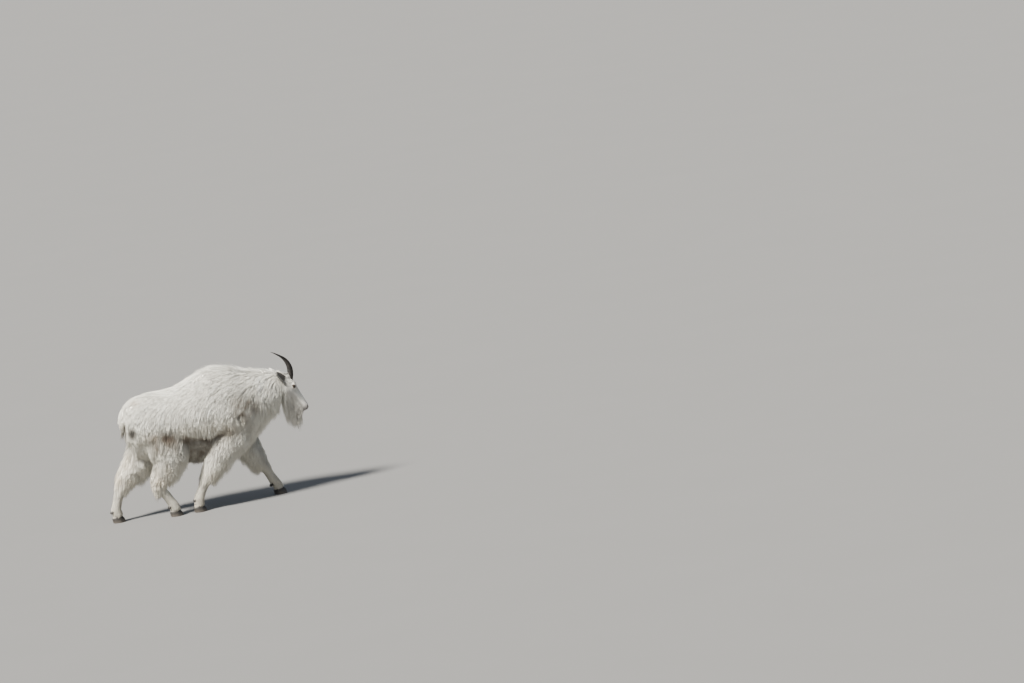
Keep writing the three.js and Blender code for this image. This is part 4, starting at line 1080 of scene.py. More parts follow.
def around_ear(fields, points, side, on_head):
    """Short hair along the ear, and shorter long hair round it, which leaves it clear."""
    root, along, *_ = ear_axes(side)
    s, off = along_ear(points, side)
    on_ear = on_head & (s > 0.16) & (off < 32) & (points[:, 1] * side > 0.04)
    gap, _ = near_line(points / MM, np.array([root, root + along * EAR_LENGTH]))
    clear = smooth(62, 32, gap)
    near_length = np.minimum(fields["length"], mix(fields["length"], 42.0, clear))
    near_depth = mix(fields["depth"], np.minimum(fields["depth"], 9.0), clear)
    fields["length"] = np.where(on_ear, mix(13.0, 5.0, smooth(0.4, 1, s)), near_length)
    fields["depth"] = np.where(on_ear, 3.0, near_depth)
    fields["part"] = np.where(on_ear, EAR, fields["part"])
    # Near the tip of an ear the hair is too short for tufts.
    fields["grown"] = np.where(on_ear & (s > 0.6), 0.0, fields["grown"])
    fields["lie"][on_ear] = along


def coat_fields(points, normals, found):
    """The coat at places on the skin, from the form, the station and the turn that each place has: length and
    depth in millimetres, lie as a direction, drape and curl from 0 to about 1, the part, and 0 in grown where
    no tufts are."""
    form_number = np.rint(found["form"]).astype(int)
    count = len(points)
    fields = {"length": np.full(count, 90.0), "depth": np.full(count, 40.0), "drape": np.zeros(count),
              "curl": np.zeros(count), "part": np.zeros(count), "grown": np.ones(count),
              "lie": np.tile(np.array([-0.4, 0.0, -1.0]), (count, 1))}
    fields["lie"][:, 1] = 0.5 * normals[:, 1]
    for number, name in enumerate(FORM_ORDER):
        own = form_number == number
        form, part = FORMS[name], PART_OF[name]
        u = np.clip(found["station"][own], 0, form.last)
        c = np.clip(found["turn_cos"][own], -1, 1)
        hair = {"depth": form.coat(u, c) * (1 - felt(name, u, c)), "lie": fields["lie"][own],
                "drape": np.zeros(len(u)), "curl": np.full(len(u), USUAL_CURL)}
        HAIR_OF[part](hair, name, u, c, points[own])
        if part != HEAD:
            uneven = 1 + 0.13 * ripple(points[own], 0.11, 12) * smooth(40, 80, hair["length"])
            hair["length"] = hair["length"] * uneven
        hair["lie"] = unit(hair["lie"])
        for key, values in hair.items():
            fields[key][own] = values
        fields["part"][own] = part
    for side in SIDES:
        around_eye_and_horn(fields, points, side)
        around_ear(fields, points, side, form_number == FORM_ORDER.index("head"))
    return fields


# Materials

def material(name, **constants):
    """A Principled material with constants on its own sockets."""
    made = bpy.data.materials.new(name)
    made.use_nodes = True
    shader = made.node_tree.nodes["Principled BSDF"]
    for key, value in constants.items():
        shader.inputs[key.replace("_", " ")].default_value = value
    return made, made.node_tree.nodes, made.node_tree.links.new, shader


def attribute(nodes, name, output="Vector"):
    node = nodes.new("ShaderNodeAttribute")
    node.attribute_name = name
    return node.outputs[output]


def calculate(nodes, wire, operation, *values):
    node = nodes.new("ShaderNodeMath")
    node.operation = operation
    for socket, value in zip(node.inputs, values):
        if hasattr(value, "is_linked"):
            wire(value, socket)
        else:
            socket.default_value = value
    return node.outputs[0]


def blend_colour(nodes, wire, share, first, second, how="MIX"):
    node = nodes.new("ShaderNodeMix")
    node.data_type = "RGBA"
    node.blend_type = how
    for socket, value in zip((node.inputs["Factor"], node.inputs[6], node.inputs[7]), (share, first, second)):
        if hasattr(value, "is_linked"):
            wire(value, socket)
        else:
            socket.default_value = (*value, 1) if isinstance(value, tuple) else value
    return node.outputs[2]


def object_place(nodes):
    return nodes.new("ShaderNodeTexCoord").outputs["Object"]


def noise(nodes, wire, where, scale, detail=3.0):
    node = nodes.new("ShaderNodeTexNoise")
    for name, number in (("Scale", scale), ("Detail", detail), ("Roughness", 0.55)):
        node.inputs[name].default_value = number
    wire(where, node.inputs["Vector"])
    return node.outputs["Fac"]


def bump(nodes, wire, height, distance, strength, normal=None):
    node = nodes.new("ShaderNodeBump")
    node.inputs["Distance"].default_value = distance
    node.inputs["Strength"].default_value = strength
    wire(height, node.inputs["Height"])
    if normal is not None:
        wire(normal, node.inputs["Normal"])
    return node.outputs["Normal"]


def map_range(nodes, wire, value, low, high, to_low=0.0, to_high=1.0):
    node = nodes.new("ShaderNodeMapRange")
    node.interpolation_type = "SMOOTHSTEP"
    for name, number in zip(("From Min", "From Max", "To Min", "To Max"), (low, high, to_low, to_high)):
        node.inputs[name].default_value = number
    wire(value, node.inputs["Value"])
    return node.outputs["Result"]


def shaded_tint(nodes, wire, grain, low, high, darkest):
    """The attribute tint times a grey that goes from darkest to 1.10 as the grain goes from low to high."""
    light = map_range(nodes, wire, grain, low, high, darkest, 1.10)
    grey = nodes.new("ShaderNodeCombineColor")
    for socket in grey.inputs:
        wire(light, socket)
    return blend_colour(nodes, wire, 1.0, attribute(nodes, "tint", "Color"), grey.outputs[0], "MULTIPLY")


def hair_material(softness):
    """Hair: the tuft's own colour, streaked along its length, with a normal turned part of the way to the
    skin's, as light spreads through a coat."""
    made, nodes, wire, shader = material(HAIR, Roughness=0.72, Specular_IOR_Level=0.25, Sheen_Weight=0.10,
                                         Sheen_Roughness=0.5)
    streaks = noise(nodes, wire, attribute(nodes, "strand"), 1.0, 2.0)
    wire(shaded_tint(nodes, wire, streaks, 0.30, 0.70, 0.78), shader.inputs["Base Color"])
    geometry = nodes.new("ShaderNodeNewGeometry")
    turned = nodes.new("ShaderNodeMix")
    turned.data_type = "VECTOR"
    turned.inputs["Factor"].default_value = softness
    wire(geometry.outputs["Normal"], turned.inputs[4])
    wire(attribute(nodes, "body_normal"), turned.inputs[5])
    level = nodes.new("ShaderNodeVectorMath")
    level.operation = "NORMALIZE"
    wire(turned.outputs[1], level.inputs[0])
    wire(bump(nodes, wire, streaks, 0.0006, 0.6, level.outputs[0]), shader.inputs["Normal"])
    return made


def skin_material():
    """Skin: the coat's colours with short hair as fine grain, and a pebbled, moist nose."""
    made, nodes, wire, shader = material("short_hair_and_skin", Specular_IOR_Level=0.35, Sheen_Weight=0.15)
    bare = attribute(nodes, "bare", "Fac")
    grain = noise(nodes, wire, attribute(nodes, "groom"), 0.8)
    wire(shaded_tint(nodes, wire, grain, 0.3, 0.7, 0.74), shader.inputs["Base Color"])
    wire(map_range(nodes, wire, bare, 0.2, 0.9, 0.78, 0.36), shader.inputs["Roughness"])
    pebbles = nodes.new("ShaderNodeTexVoronoi")
    pebbles.inputs["Scale"].default_value = 620.0
    wire(object_place(nodes), pebbles.inputs["Vector"])
    height = calculate(nodes, wire, "MULTIPLY", pebbles.outputs["Distance"], bare)
    height = calculate(nodes, wire, "ADD", height, grain)
    wire(bump(nodes, wire, height, 0.0010, 0.7), shader.inputs["Normal"])
    return made


def horn_material():
    """Horn: near-black keratin with fine grooves along it and worn, browner ridges."""
    made, nodes, wire, shader = material("dark_horn", Specular_IOR_Level=0.26)
    grain = noise(nodes, wire, attribute(nodes, "strand"), 1.0, 4.0)
    blotch = noise(nodes, wire, object_place(nodes), 60.0)
    colour = blend_colour(nodes, wire, map_range(nodes, wire, blotch, 0.35, 0.7), (0.005, 0.0045, 0.004),
                          (0.015, 0.0125, 0.011))
    worn = map_range(nodes, wire, grain, 0.55, 0.8, 0, 0.5)
    colour = blend_colour(nodes, wire, worn, colour, (0.034, 0.029, 0.025))
    wire(colour, shader.inputs["Base Color"])
    wire(map_range(nodes, wire, grain, 0.3, 0.7, 0.42, 0.62), shader.inputs["Roughness"])
    wire(bump(nodes, wire, grain, 0.0008, 0.5), shader.inputs["Normal"])
    return made


def hoof_material():
    """Hoof: grey-black horn, dusty near the floor, with growth lines round it."""
    made, nodes, wire, shader = material("worn_hoof", Specular_IOR_Level=0.4)
    where = object_place(nodes)
    parts = nodes.new("ShaderNodeSeparateXYZ")
    wire(where, parts.inputs[0])
    grain = noise(nodes, wire, attribute(nodes, "strand"), 1.0, 4.0)
    dust = calculate(nodes, wire, "MULTIPLY", map_range(nodes, wire, parts.outputs["Z"], 0.03, 0.0),
                     noise(nodes, wire, where, 90.0, 4.0))
    colour = blend_colour(nodes, wire, map_range(nodes, wire, grain, 0.3, 0.75), (0.009, 0.008, 0.007),
                          (0.034, 0.029, 0.024))
    colour = blend_colour(nodes, wire, dust, colour, (0.10, 0.085, 0.070))
    wire(colour, shader.inputs["Base Color"])
    wire(map_range(nodes, wire, grain, 0.2, 0.8, 0.42, 0.72), shader.inputs["Roughness"])
    wire(bump(nodes, wire, grain, 0.0008, 0.6), shader.inputs["Normal"])
    return made


def eye_material():
    """Eye: a level slit of a pupil in an amber-brown iris with fine rays and a dark rim, under a wet shine."""
    made, nodes, wire, shader = material("wet_eye", Roughness=0.25, Specular_IOR_Level=0.2, Coat_Weight=0.7,
                                         Coat_Roughness=0.02)
    face = nodes.new("ShaderNodeSeparateXYZ")
    wire(attribute(nodes, "gaze"), face.inputs[0])
    across, upward, spread_out = (face.outputs[k] for k in range(3))
    slit = calculate(nodes, wire, "MAXIMUM",
                     calculate(nodes, wire, "DIVIDE", calculate(nodes, wire, "ABSOLUTE", across), 0.40),
                     calculate(nodes, wire, "DIVIDE", calculate(nodes, wire, "ABSOLUTE", upward), 0.19))
    rays = noise(nodes, wire, attribute(nodes, "rays"), 1.0)
    iris = blend_colour(nodes, wire, rays, (0.010, 0.006, 0.003), (0.045, 0.023, 0.009))
    rim, pupil = map_range(nodes, wire, spread_out, 0.46, 0.60), map_range(nodes, wire, slit, 1.08, 0.92)
    iris = blend_colour(nodes, wire, rim, iris, (0.008, 0.005, 0.004))
    iris = blend_colour(nodes, wire, pupil, iris, (0.002, 0.002, 0.003))
    wire(iris, shader.inputs["Base Color"])
    return made


# Coat of tufts

# How deep a long tuft's root and a short one's are sunk in the skin.
ROOT_DEPTH, SHORT_ROOT_DEPTH = 4.0 * MM, 1.2 * MM
FLOOR_GAP = 3 * MM
# Size of a tuft's patch on the bake map, whose sides run from 0 to 1.
BAKE_PATCH = 0.003
# Hair is long past this length. A piece of the coat has MOST_TRIANGLES at the most, or one tuft more.
LONG_HAIR = 40 * MM
MOST_TRIANGLES = 190_000
# Cosine of the sharpest bend that a tuft is kept with.
SHARPEST_BEND = 0.45
HAIR = "shaggy_hair"
# How far a tuft's ridge stands above its middle and its edges below it, against half its width.
RIDGE_RISE, EDGE_DROP = 0.62, 0.22
# Steps of the streaks' pattern for a metre across a tuft and along it, and how far apart tufts can lie in it.
STREAKS_ACROSS, STREAKS_ALONG, STREAKS_APART = 1400, 38, 900
# Layers of the long coat, locks, strands and tufts: the least distance between roots (0 for a tuft's own),
# ranges of length and of lift, share of strays, spread of turn, size of the waves, range of the pull to the
# layer before, and spread of shade.
LAYERS = [
    (42 * MM, (0.82, 1.12), (0.75, 1.05), 0, 0.16, 8 * MM, (), 0.04),
    (15 * MM, (0.80, 1.12), (0.65, 1.05), 0, 0.14, 4.5 * MM, (0.25, 0.6), 0.035),
    (0, (0.72, 1.12), (0.5, 1.0), 0.12, 0.10, 1.8 * MM, (0.4, 0.9), 0.045),
]


def nearest(points, targets):
    """Index of the nearest target to each point: the largest 2 p.t - t.t, a block of points at a time."""
    targets = targets.astype(np.float32)
    length = (targets ** 2).sum(axis=1)
    blocks = [np.argmax(2 * block.astype(np.float32) @ targets.T - length, axis=1)
              for block in np.array_split(points, max(1, len(points) // 2000))]
    return np.concatenate(blocks)


def grow(skin, roots, length, lift, turn, rings, sink=ROOT_DEPTH):
    """Middles of tufts: each starts sunk in the skin, steps along its lie, rises to the coat's depth, and falls
    freely where the skin turns under or where the coat drapes. Also the skin's normals at the roots and after,
    and how freely each ring hangs."""
    names = ("outward", "lie")
    found = read_surface(skin, roots, names, ("depth", "drape"))
    place, normal = roots, unit(found["outward"])
    root_depth, drape = found["depth"], found["drape"]
    middle = place - normal * sink
    path, normals, freedom = [middle], [normal], [np.zeros(len(roots))]
    step = (length / rings)[:, None]
    hanging = np.zeros(len(roots))
    heading = None
    for ahead in np.arange(1, rings + 1) / rings:
        lie = unit(found["lie"] - normal * dot(found["lie"], normal))
        lie = lie * np.cos(turn)[:, None] + np.cross(normal, lie) * np.sin(turn)[:, None]
        found = read_surface(skin, place + lie * step, names, ("depth",))
        place, normal = found["place"], unit(found["outward"])
        depth = lift * np.maximum(found["depth"], 0.7 * root_depth)
        clinging = place + normal * mix(-sink, depth, smooth(-0.1, 0.9, ahead))[:, None]
        overhang = smooth(0.25, -0.45, normal[:, 2]) * smooth(0, 0.3, ahead) * smooth(0.03, 0.06, length)
        hanging = np.maximum(np.maximum(hanging, overhang), drape * smooth(0, 0.5, ahead))
        heading = lie if heading is None else heading
        free = middle + unit(mix(heading, -UP, 0.5)) * step
        # A tuft turns no more sharply than hair does.
        wanted = mix(clinging, free, hanging[:, None]) - middle
        onward = unit(wanted)
        onward = unit(mix(onward, heading, 0.8 * smooth(0.75, 0.0, dot(onward, heading))))
        middle = middle + onward * np.minimum(np.linalg.norm(wanted, axis=1)[:, None], 1.3 * step)
        middle[:, 2] = np.maximum(middle[:, 2], FLOOR_GAP)
        heading = onward
        path.append(middle)
        normals.append(normal)
        freedom.append(hanging)
    path = np.stack(path, axis=1)
    for _ in range(2):
        path[:, 1:-1] = 0.25 * path[:, :-2] + 0.5 * path[:, 1:-1] + 0.25 * path[:, 2:]
    return path, np.stack(normals, axis=1), np.stack(freedom, axis=1)


def without_ears(skin):
    """A copy of the skin that lacks the ears, so that long hair near them doesn't run up onto them."""
    edit = bmesh.new()
    edit.from_mesh(skin.data)
    part = edit.faces.layers.float["part"]
    bmesh.ops.delete(edit, geom=[face for face in edit.faces if round(face[part]) == EAR], context="FACES")
    mesh = bpy.data.meshes.new("without_ears")
    edit.to_mesh(mesh)
    edit.free()
    return link(mesh)


def gather(path, roots, length, guide, guide_roots, guide_length, pull):
    """Draws tufts towards the nearest guide, from none at the root to the most at the tip, at equal lengths."""
    index = nearest(roots, guide_roots)
    rings = path.shape[1] - 1
    t = np.arange(rings + 1) / rings
    place = np.clip(t[None] * (length / guide_length[index])[:, None], 0, 1) * rings
    low = np.minimum(place.astype(int), rings - 1)
    share = (place - low)[..., None]
    rows = np.arange(len(index))[:, None]
    line = guide[index][rows, low] * (1 - share) + guide[index][rows, low + 1] * share
    offset = (roots - guide_roots[index])[:, None] * (1 - 0.55 * t)[None, :, None]
    strength = (pull[:, None] * smooth(0.05, 1.0, t)[None])[..., None]
    return path + strength * (line + offset - path), index


def waves(path, normals, curl, length, size, rng):
    """Bends a path from side to side and in and out, by sines of the distance along it."""
    rings = path.shape[1] - 1
    t = np.arange(rings + 1) / rings
    along = unit(np.gradient(path, axis=1))
    side = unit(np.cross(along, normals))
    count = len(path)
    phase = length[:, None] * t / rng.uniform(0.06, 0.11, (count, 1)) * 2 * np.pi
    swing = (curl * size * rng.uniform(0.5, 1.2, count))[:, None] * smooth(0.0, 0.45, t)
    sideways = swing * np.sin(phase + rng.uniform(0, 2 * np.pi, (count, 1)))
    outwards = 0.5 * swing * np.sin(phase + rng.uniform(0, 2 * np.pi, (count, 1)))
    return path + side * sideways[..., None] + normals * outwards[..., None]


def tuft_mesh(name, path, normals, freedom, width, root_painted_shade, colour, place_on_map, body_normal, rng):
    """One mesh of tapered, three-sided tufts, whose width at a share t of the length is the width by
    (0.66 + 1.2 t) (1 - t)^0.85. A tuft has a ridge and two edges, along a middle of rings and a tip, and keeps
    the bake map's patch, its colour, its streaks and the skin's normal, shorter where it hangs free."""
    count, rings = path.shape[0], path.shape[1] - 1
    t = np.arange(rings) / rings
    along = unit(np.gradient(path, axis=1))[:, :-1]
    up = unit(normals[:, :-1] - along * dot(along, normals[:, :-1]))
    side = np.cross(along, up)
    roll = rng.uniform(-0.6, 0.6, count)[:, None, None]
    up, side = up * np.cos(roll) + side * np.sin(roll), side * np.cos(roll) - up * np.sin(roll)
    taper = ((0.66 + 1.2 * t) * (1 - t) ** 0.85)[None, :, None]
    half = 0.5 * width[:, None, None] * taper
    middle = path[:, :-1]
    corners = np.stack([
        middle + up * half * RIDGE_RISE,
        middle + side * half - up * half * EDGE_DROP,
        middle - side * half - up * half * EDGE_DROP,
    ], axis=2)
    points = np.concatenate([corners.reshape(count, rings * 3, 3), path[:, -1:]], axis=1)
    size = rings * 3 + 1
    i = (np.arange(rings - 1) * 3)[:, None]
    j, k = np.array([0, 1, 2]), np.array([1, 2, 0])
    quads = np.stack([i + j, i + k, i + 3 + k, i + 3 + j], axis=-1).reshape(-1, 4)
    end = (rings - 1) * 3
    tip = size - 1
    tips = np.array([[end, end + 1, tip], [end + 1, end + 2, tip], [end + 2, end, tip], [0, 2, 1]])
    first = (np.arange(count) * size)[:, None, None]
    mesh = new_mesh(name, points.reshape(-1, 3), (quads + first).reshape(-1, 4), (tips + first).reshape(-1, 3))

    # The same place across and along for every tuft: -1, 0 or 1 across, 0 to 1 along.
    across = np.concatenate([np.tile([0.0, 1.0, -1.0], rings), [0.0]])
    down = np.concatenate([np.repeat(t, 3), [1.0]])
    reach = np.linalg.norm(np.diff(path, axis=1), axis=2).sum(axis=1)
    strand = np.stack([
        across[None] * width[:, None] * STREAKS_ACROSS + rng.uniform(0, STREAKS_APART, (count, 1)),
        down[None] * reach[:, None] * STREAKS_ALONG + rng.uniform(0, STREAKS_APART, (count, 1)),
        np.repeat(rng.uniform(0, STREAKS_APART, (count, 1)), size, axis=1),
    ], axis=-1)
    tint = np.concatenate([np.repeat(colour[:, :-1], 3, axis=1), colour[:, -1:]], axis=1)
    # Painted shade: each tuft is darker towards its root, deep in the coat.
    tint = tint * mix(root_painted_shade, 1.0, smooth(0.0, 0.6, down))[None, :, None]
    store(mesh, "tint", np.concatenate([tint, np.ones((count, size, 1))], axis=-1), "FLOAT_COLOR")
    store(mesh, "strand", strand, "FLOAT_VECTOR")
    clinging = 1 - 0.9 * np.concatenate([np.repeat(freedom[:, :-1], 3, axis=1), freedom[:, -1:]], axis=1)
    store(mesh, "body_normal", body_normal[:, None] * clinging[..., None], "FLOAT_VECTOR")
    patch = place_on_map[:, None] + np.stack([0.5 * across, down - 0.5], axis=-1)[None] * BAKE_PATCH
    layer = mesh.uv_layers.new(name="OFBake")
    layer.data.foreach_set("uv", patch.reshape(-1, 2)[corner_vertices(mesh)].astype(np.float32).ravel())
    return mesh


def chosen(skin, roots, parts, shaggy):
    """Which roots belong to the parts, and to the long coat or the short one."""
    found = read_surface(skin, roots, (), ("part", "length", "bare"))
    own = np.isin(np.rint(found["part"]).astype(int), parts)
    own &= (found["length"] > LONG_HAIR) == shaggy
    for side in SIDES:
        own &= near_line(roots / MM, horn_foot(side))[0] > HORN_BASE_RADIUS - 1.5
    return roots[own & (found["bare"] < 0.35)]


def long_coat(skin, name, parts, spacing, width, seed, size=1.0):
    """A long coat: tufts gather in strands and strands in locks, each with its own length, turn and wave."""
    rng = np.random.default_rng(seed)
    rings = 4
    layers = []
    ground = without_ears(skin)
    for gap, lengths, lifts, strays, spread_turn, wave, pulls, spread_shade in LAYERS:
        found_roots = scatter(skin, gap or spacing, "shaggy", seed + len(layers))
        roots = chosen(skin, found_roots, parts, True)
        found = read_surface(skin, roots, (), ("length", "curl"))
        count = len(roots)
        length = found["length"] * size * rng.uniform(*lengths, count)
        lift = rng.uniform(*lifts, count)
        stray = rng.random(count) < strays
        lift = np.where(stray, 1.22 * lift, lift)
        turn = rng.normal(0, spread_turn, count) * (0.6 + 1.1 * found["curl"])
        path, normals, freedom = grow(ground, roots, length, lift, turn, rings)
        path = waves(path, normals, found["curl"], length, wave, rng)
        shade = 1.0
        if layers:
            pull = rng.uniform(*pulls, count)
            pull = np.minimum(pull * mix(0.55, 1.25, found["curl"]), 0.95)
            pull = np.where(stray, 0.25 * pull, pull)
            path, index = gather(path, roots, length, *layers[-1][:3], pull)
            shade = layers[-1][3][index]
        shade = shade * rng.normal(1, spread_shade, count)
        layers.append((path, roots, length, shade))
    drop(ground)
    width = width * rng.uniform(0.7, 1.3, len(roots)) * np.where(stray, 0.45, 1.0)
    # 0.90 is the painted shade at the roots of the tufts.
    tufts_to_pieces(skin, name, path, normals, freedom, roots, width, shade, 0.90, rng)


def short_coat(skin, name, parts, spacing, width, seed):
    """A short coat: small tufts that lie close, with a slow change of lie and a little spread."""
    rng = np.random.default_rng(seed)
    roots = chosen(skin, scatter(skin, spacing, "sleek", seed), parts, False)
    found = read_surface(skin, roots, (), ("length",))
    count = len(roots)
    length = found["length"] * rng.uniform(0.75, 1.25, count)
    turn = 0.2 * ripple(roots, 0.05, seed) + rng.normal(0, 0.12, count)
    lift = rng.uniform(0.5, 1.0, count)
    path, normals, freedom = grow(skin, roots, length, lift, turn, 3, SHORT_ROOT_DEPTH)
    scale = np.clip(length / (14 * MM), 0.6, 1.3)
    shade = rng.normal(1, 0.05, count)
    width = width * scale * rng.uniform(0.75, 1.25, count)
    # 0.92 is the painted shade at the roots of the tufts.
    tufts_to_pieces(skin, name, path, normals, freedom, roots, width, shade, 0.92, rng, 1.0)


def tufts_to_pieces(skin, name, path, normals, freedom, roots, width, shade, root_painted_shade, rng, rooted=0.0):
    """Makes the tufts into pieces small enough to be kept whole, from the rear of the animal to its front.
    Tufts that are bent sharply, in a fold of the skin, are left out."""
    steps = unit(np.diff(path, axis=1))
    even = dot(steps[:, 1:], steps[:, :-1])[..., 0].min(axis=1) > SHARPEST_BEND
    path, normals, freedom, roots, width, shade = (
        table[even] for table in (path, normals, freedom, roots, width, shade))
    found = read_surface(skin, roots, ("tint_vector", "map_place", "outward"))
    # A tuft takes the colours of the places that it covers, and its root's where it hangs far off or is short.
    below = read_surface(skin, path.reshape(-1, 3), ("tint_vector",))
    far = np.linalg.norm(below["place"].reshape(path.shape) - path, axis=2)
    own = np.clip(1.5 * freedom * smooth(0.035, 0.065, far) + rooted, 0, 1)[..., None]
    colour = mix(below["tint_vector"].reshape(path.shape), found["tint_vector"][:, None], own)
    colour = np.clip(colour * shade[:, None, None], 0, 0.93)
    order = np.argsort(roots[:, 0], kind="stable")
    each = (path.shape[1] - 2) * 6 + 4
    blocks = np.array_split(order, max(1, math.ceil(len(order) * each / MOST_TRIANGLES)))
    for number, block in enumerate(blocks, 1):
        label = name if len(blocks) == 1 else f"{name}_{number}"
        mesh = tuft_mesh(label, path[block], normals[block], freedom[block], width[block], root_painted_shade,
                         colour[block], found["map_place"][block, :2], unit(found["outward"][block]), rng)
        mesh.materials.append(bpy.data.materials[HAIR])
        piece = link(mesh)
        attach(piece, "root")


# Horns, hooves and eyes

HORN_LINE = [(606, 21, 742), (625, 24, 792), (628, 29, 842), (614, 35, 886), (588, 42, 920), (555, 49, 944),
             (524, 55, 962)]
HORN_BASE_RADIUS = 15.5


def horn_foot(side):
    """Nine places along the first two stretches of a horn's middle line."""
    return curve(np.array(HORN_LINE, float) * (1, side, 1), np.linspace(0, 2, 9))


def horn_mesh(name, side):
    """A horn: rings along a curve whose radius is R (1 - 0.86 t^1.35), with a ridge for each year near the
    base, fine rings and a little unevenness round it."""
    rings, sides = 150, 48
    t = np.linspace(0, 0.985, rings)
    line = np.array(HORN_LINE, float) * (1, side, 1)
    middle = curve(line, t * (len(line) - 1))
    along = unit(np.gradient(middle, axis=0))
    out = unit(LEFT - along * (along @ LEFT)[:, None])
    front = np.cross(along, out)
    angle = turns(sides)
    year = (t / 0.62) ** 0.8 * 9
    ridge = 0.7 * smooth(0.2, 0.9, np.abs(np.sin(np.pi * year))) * smooth(0.66, 0.30, t)
    fine = 0.18 * np.sin(t * 420) * smooth(0.9, 0.4, t)
    radius = HORN_BASE_RADIUS * (1 - 0.86 * t ** 1.35) - 1.1 + ridge + fine
    rough = 1 + 0.012 * np.sin(angle * 9)[None] + 0.01 * np.sin(angle[None] * 17 + t[:, None] * 20)
    radius = radius[:, None] * rough
    grid = (middle[:, None] + front[:, None] * (1.1 * radius * np.cos(angle))[..., None]
            + out[:, None] * (0.92 * radius * np.sin(angle))[..., None])
    mesh = tube(name, grid, middle[0], curve(line, np.array(len(line) - 1.0)))
    keep_pattern(mesh, "strand", (np.cos(angle) * 22, np.sin(angle) * 22, t[:, None] * 6), (rings, sides), 6)
    return mesh


SOLE_LENGTH, CLAW_WIDTH, CLAW_HEIGHT, CLEFT = 84.0, 33.0, 46.0, 3.0
# Share of a claw's width on the side of the cleft, and share of its height that the heel lies lower.
INNER_SHARE, HEEL_DROP = 0.18, 0.36
# Height, size against the sole's, and how far back, from the sole to the coronet.
CLAW_LEVELS = [(0, 0.95, 0), (2, 1.0, 0), (15, 0.97, -2.5), (30, 0.92, -6), (CLAW_HEIGHT - 6, 0.83, -11),
               (CLAW_HEIGHT, 0.74, -13), (CLAW_HEIGHT + 5, 0.60, -14)]


def claw_mesh(name, limb, inner):
    """One claw of a hoof: pointed ovals stacked from the sole to the coronet, wider on the side away from the
    cleft, with fine lines round it."""
    away = limb["side"] * (-1 if inner else 1)
    rings, sides = 40, 40
    z, scale, back = curve(CLAW_LEVELS, np.linspace(0, len(CLAW_LEVELS) - 1, rings)).T
    scale = scale * (1 + 0.006 * np.sin(z * 1.3) * smooth(2, 8, z))
    angle = turns(sides)
    lengthwise, across = np.cos(angle), np.sin(angle)
    pointed = 1 - 0.42 * smooth(0.1, 1, lengthwise)
    outer = np.where(across > 0, CLAW_WIDTH * (1 - INNER_SHARE), CLAW_WIDTH * INNER_SHARE)
    x = limb["toe"] - SOLE_LENGTH / 2 + SOLE_LENGTH / 2 * scale[:, None] * lengthwise + back[:, None]
    y = CLEFT + CLAW_WIDTH * INNER_SHARE + (outer * across * pointed)[None] * scale[:, None]
    heel = 1 - HEEL_DROP * smooth(0.2, -1.0, lengthwise)
    grid = np.stack([x, limb["side"] * FETLOCK_TRACK + away * y, np.maximum(z, 0)[:, None] * heel], axis=-1)
    ends = [grid[0].mean(axis=0), grid[-1].mean(axis=0) + (0, 0, 1)]
    mesh = tube(name, grid, *ends)
    keep_pattern(mesh, "strand", (angle * 5, 0.0, z[:, None] * 0.8), (rings, sides), 40)
    return mesh


# A dewclaw's distance from the middle of its leg, how far it stands back, how far its tip drops, and its radii.
DEWCLAW_SIDE, DEWCLAW_LENGTH, DEWCLAW_DROP, DEWCLAW_RADII = 13, 27, 17, [9, 8.8, 7.4, 2.8]


def dewclaw_mesh(name, limb, form, inner):
    """A dewclaw: a blunt, slightly hooked cone behind the pastern."""
    u = np.array(form.last - 1.9)
    _, front, _ = form.frame(u)
    root = form.read(PLACE, u) - front * form.read(BACK_REACH, u) * 0.55
    root[1] += limb["side"] * (-1 if inner else 1) * DEWCLAW_SIDE
    tip = root - front * DEWCLAW_LENGTH + (0, 0, -DEWCLAW_DROP)
    mesh = rod(name, [root, mix(root, tip, 0.4), mix(root, tip, 0.75), tip + (0, 0, 1)], DEWCLAW_RADII, 20, 20)
    store(mesh, "strand", places(mesh) * 500 * (1, 1, 3), "FLOAT_VECTOR")
    return mesh


# How far the cornea stands out of the eyeball.
CORNEA = 1.1


def eye_mesh(name, side):
    """An eyeball: a ball about the gaze, with a cornea that stands out in a dome that ends at 42 degrees."""
    centre, gaze, *_ = eye_axes(side)
    level = unit(np.cross(UP, gaze))
    rise = np.cross(gaze, level)
    rings, sides = 48, 64
    pole = 0.03
    polar, turn = np.meshgrid(np.linspace(pole, math.pi - pole, rings), turns(sides), indexing="ij")
    radius = EYE_RADIUS - 0.2 + CORNEA * smooth(math.radians(42), math.radians(8), polar)
    across, upward = np.sin(polar) * np.cos(turn), np.sin(polar) * np.sin(turn)
    ray = gaze * np.cos(polar)[..., None] + level * across[..., None] + rise * upward[..., None]
    ends = centre + gaze * (EYE_RADIUS + 0.9), centre - gaze * (EYE_RADIUS - 0.2)
    mesh = tube(name, centre + ray * radius[..., None], *ends)
    keep_pattern(mesh, "gaze", (across, upward, polar / (math.pi / 2)), (rings, sides), 2)
    keep_pattern(mesh, "rays", (np.cos(turn) * 9, np.sin(turn) * 9, polar * 3), (rings, sides), 9)
    return mesh


def put(mesh, finish, nodes):
    """Adds a finished piece that stands for CAD nodes."""
    mesh.materials.clear()
    mesh.materials.append(finish)
    piece = link(mesh)
    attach(piece, "root")
    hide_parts(*nodes)
    return piece


def the_skin():
    """The skin's object, which has to be there before its coat."""
    skin = bpy.data.objects.get("skin")
    if skin is None:
        raise RuntimeError("the skin has to be made before its coat")
    return skin


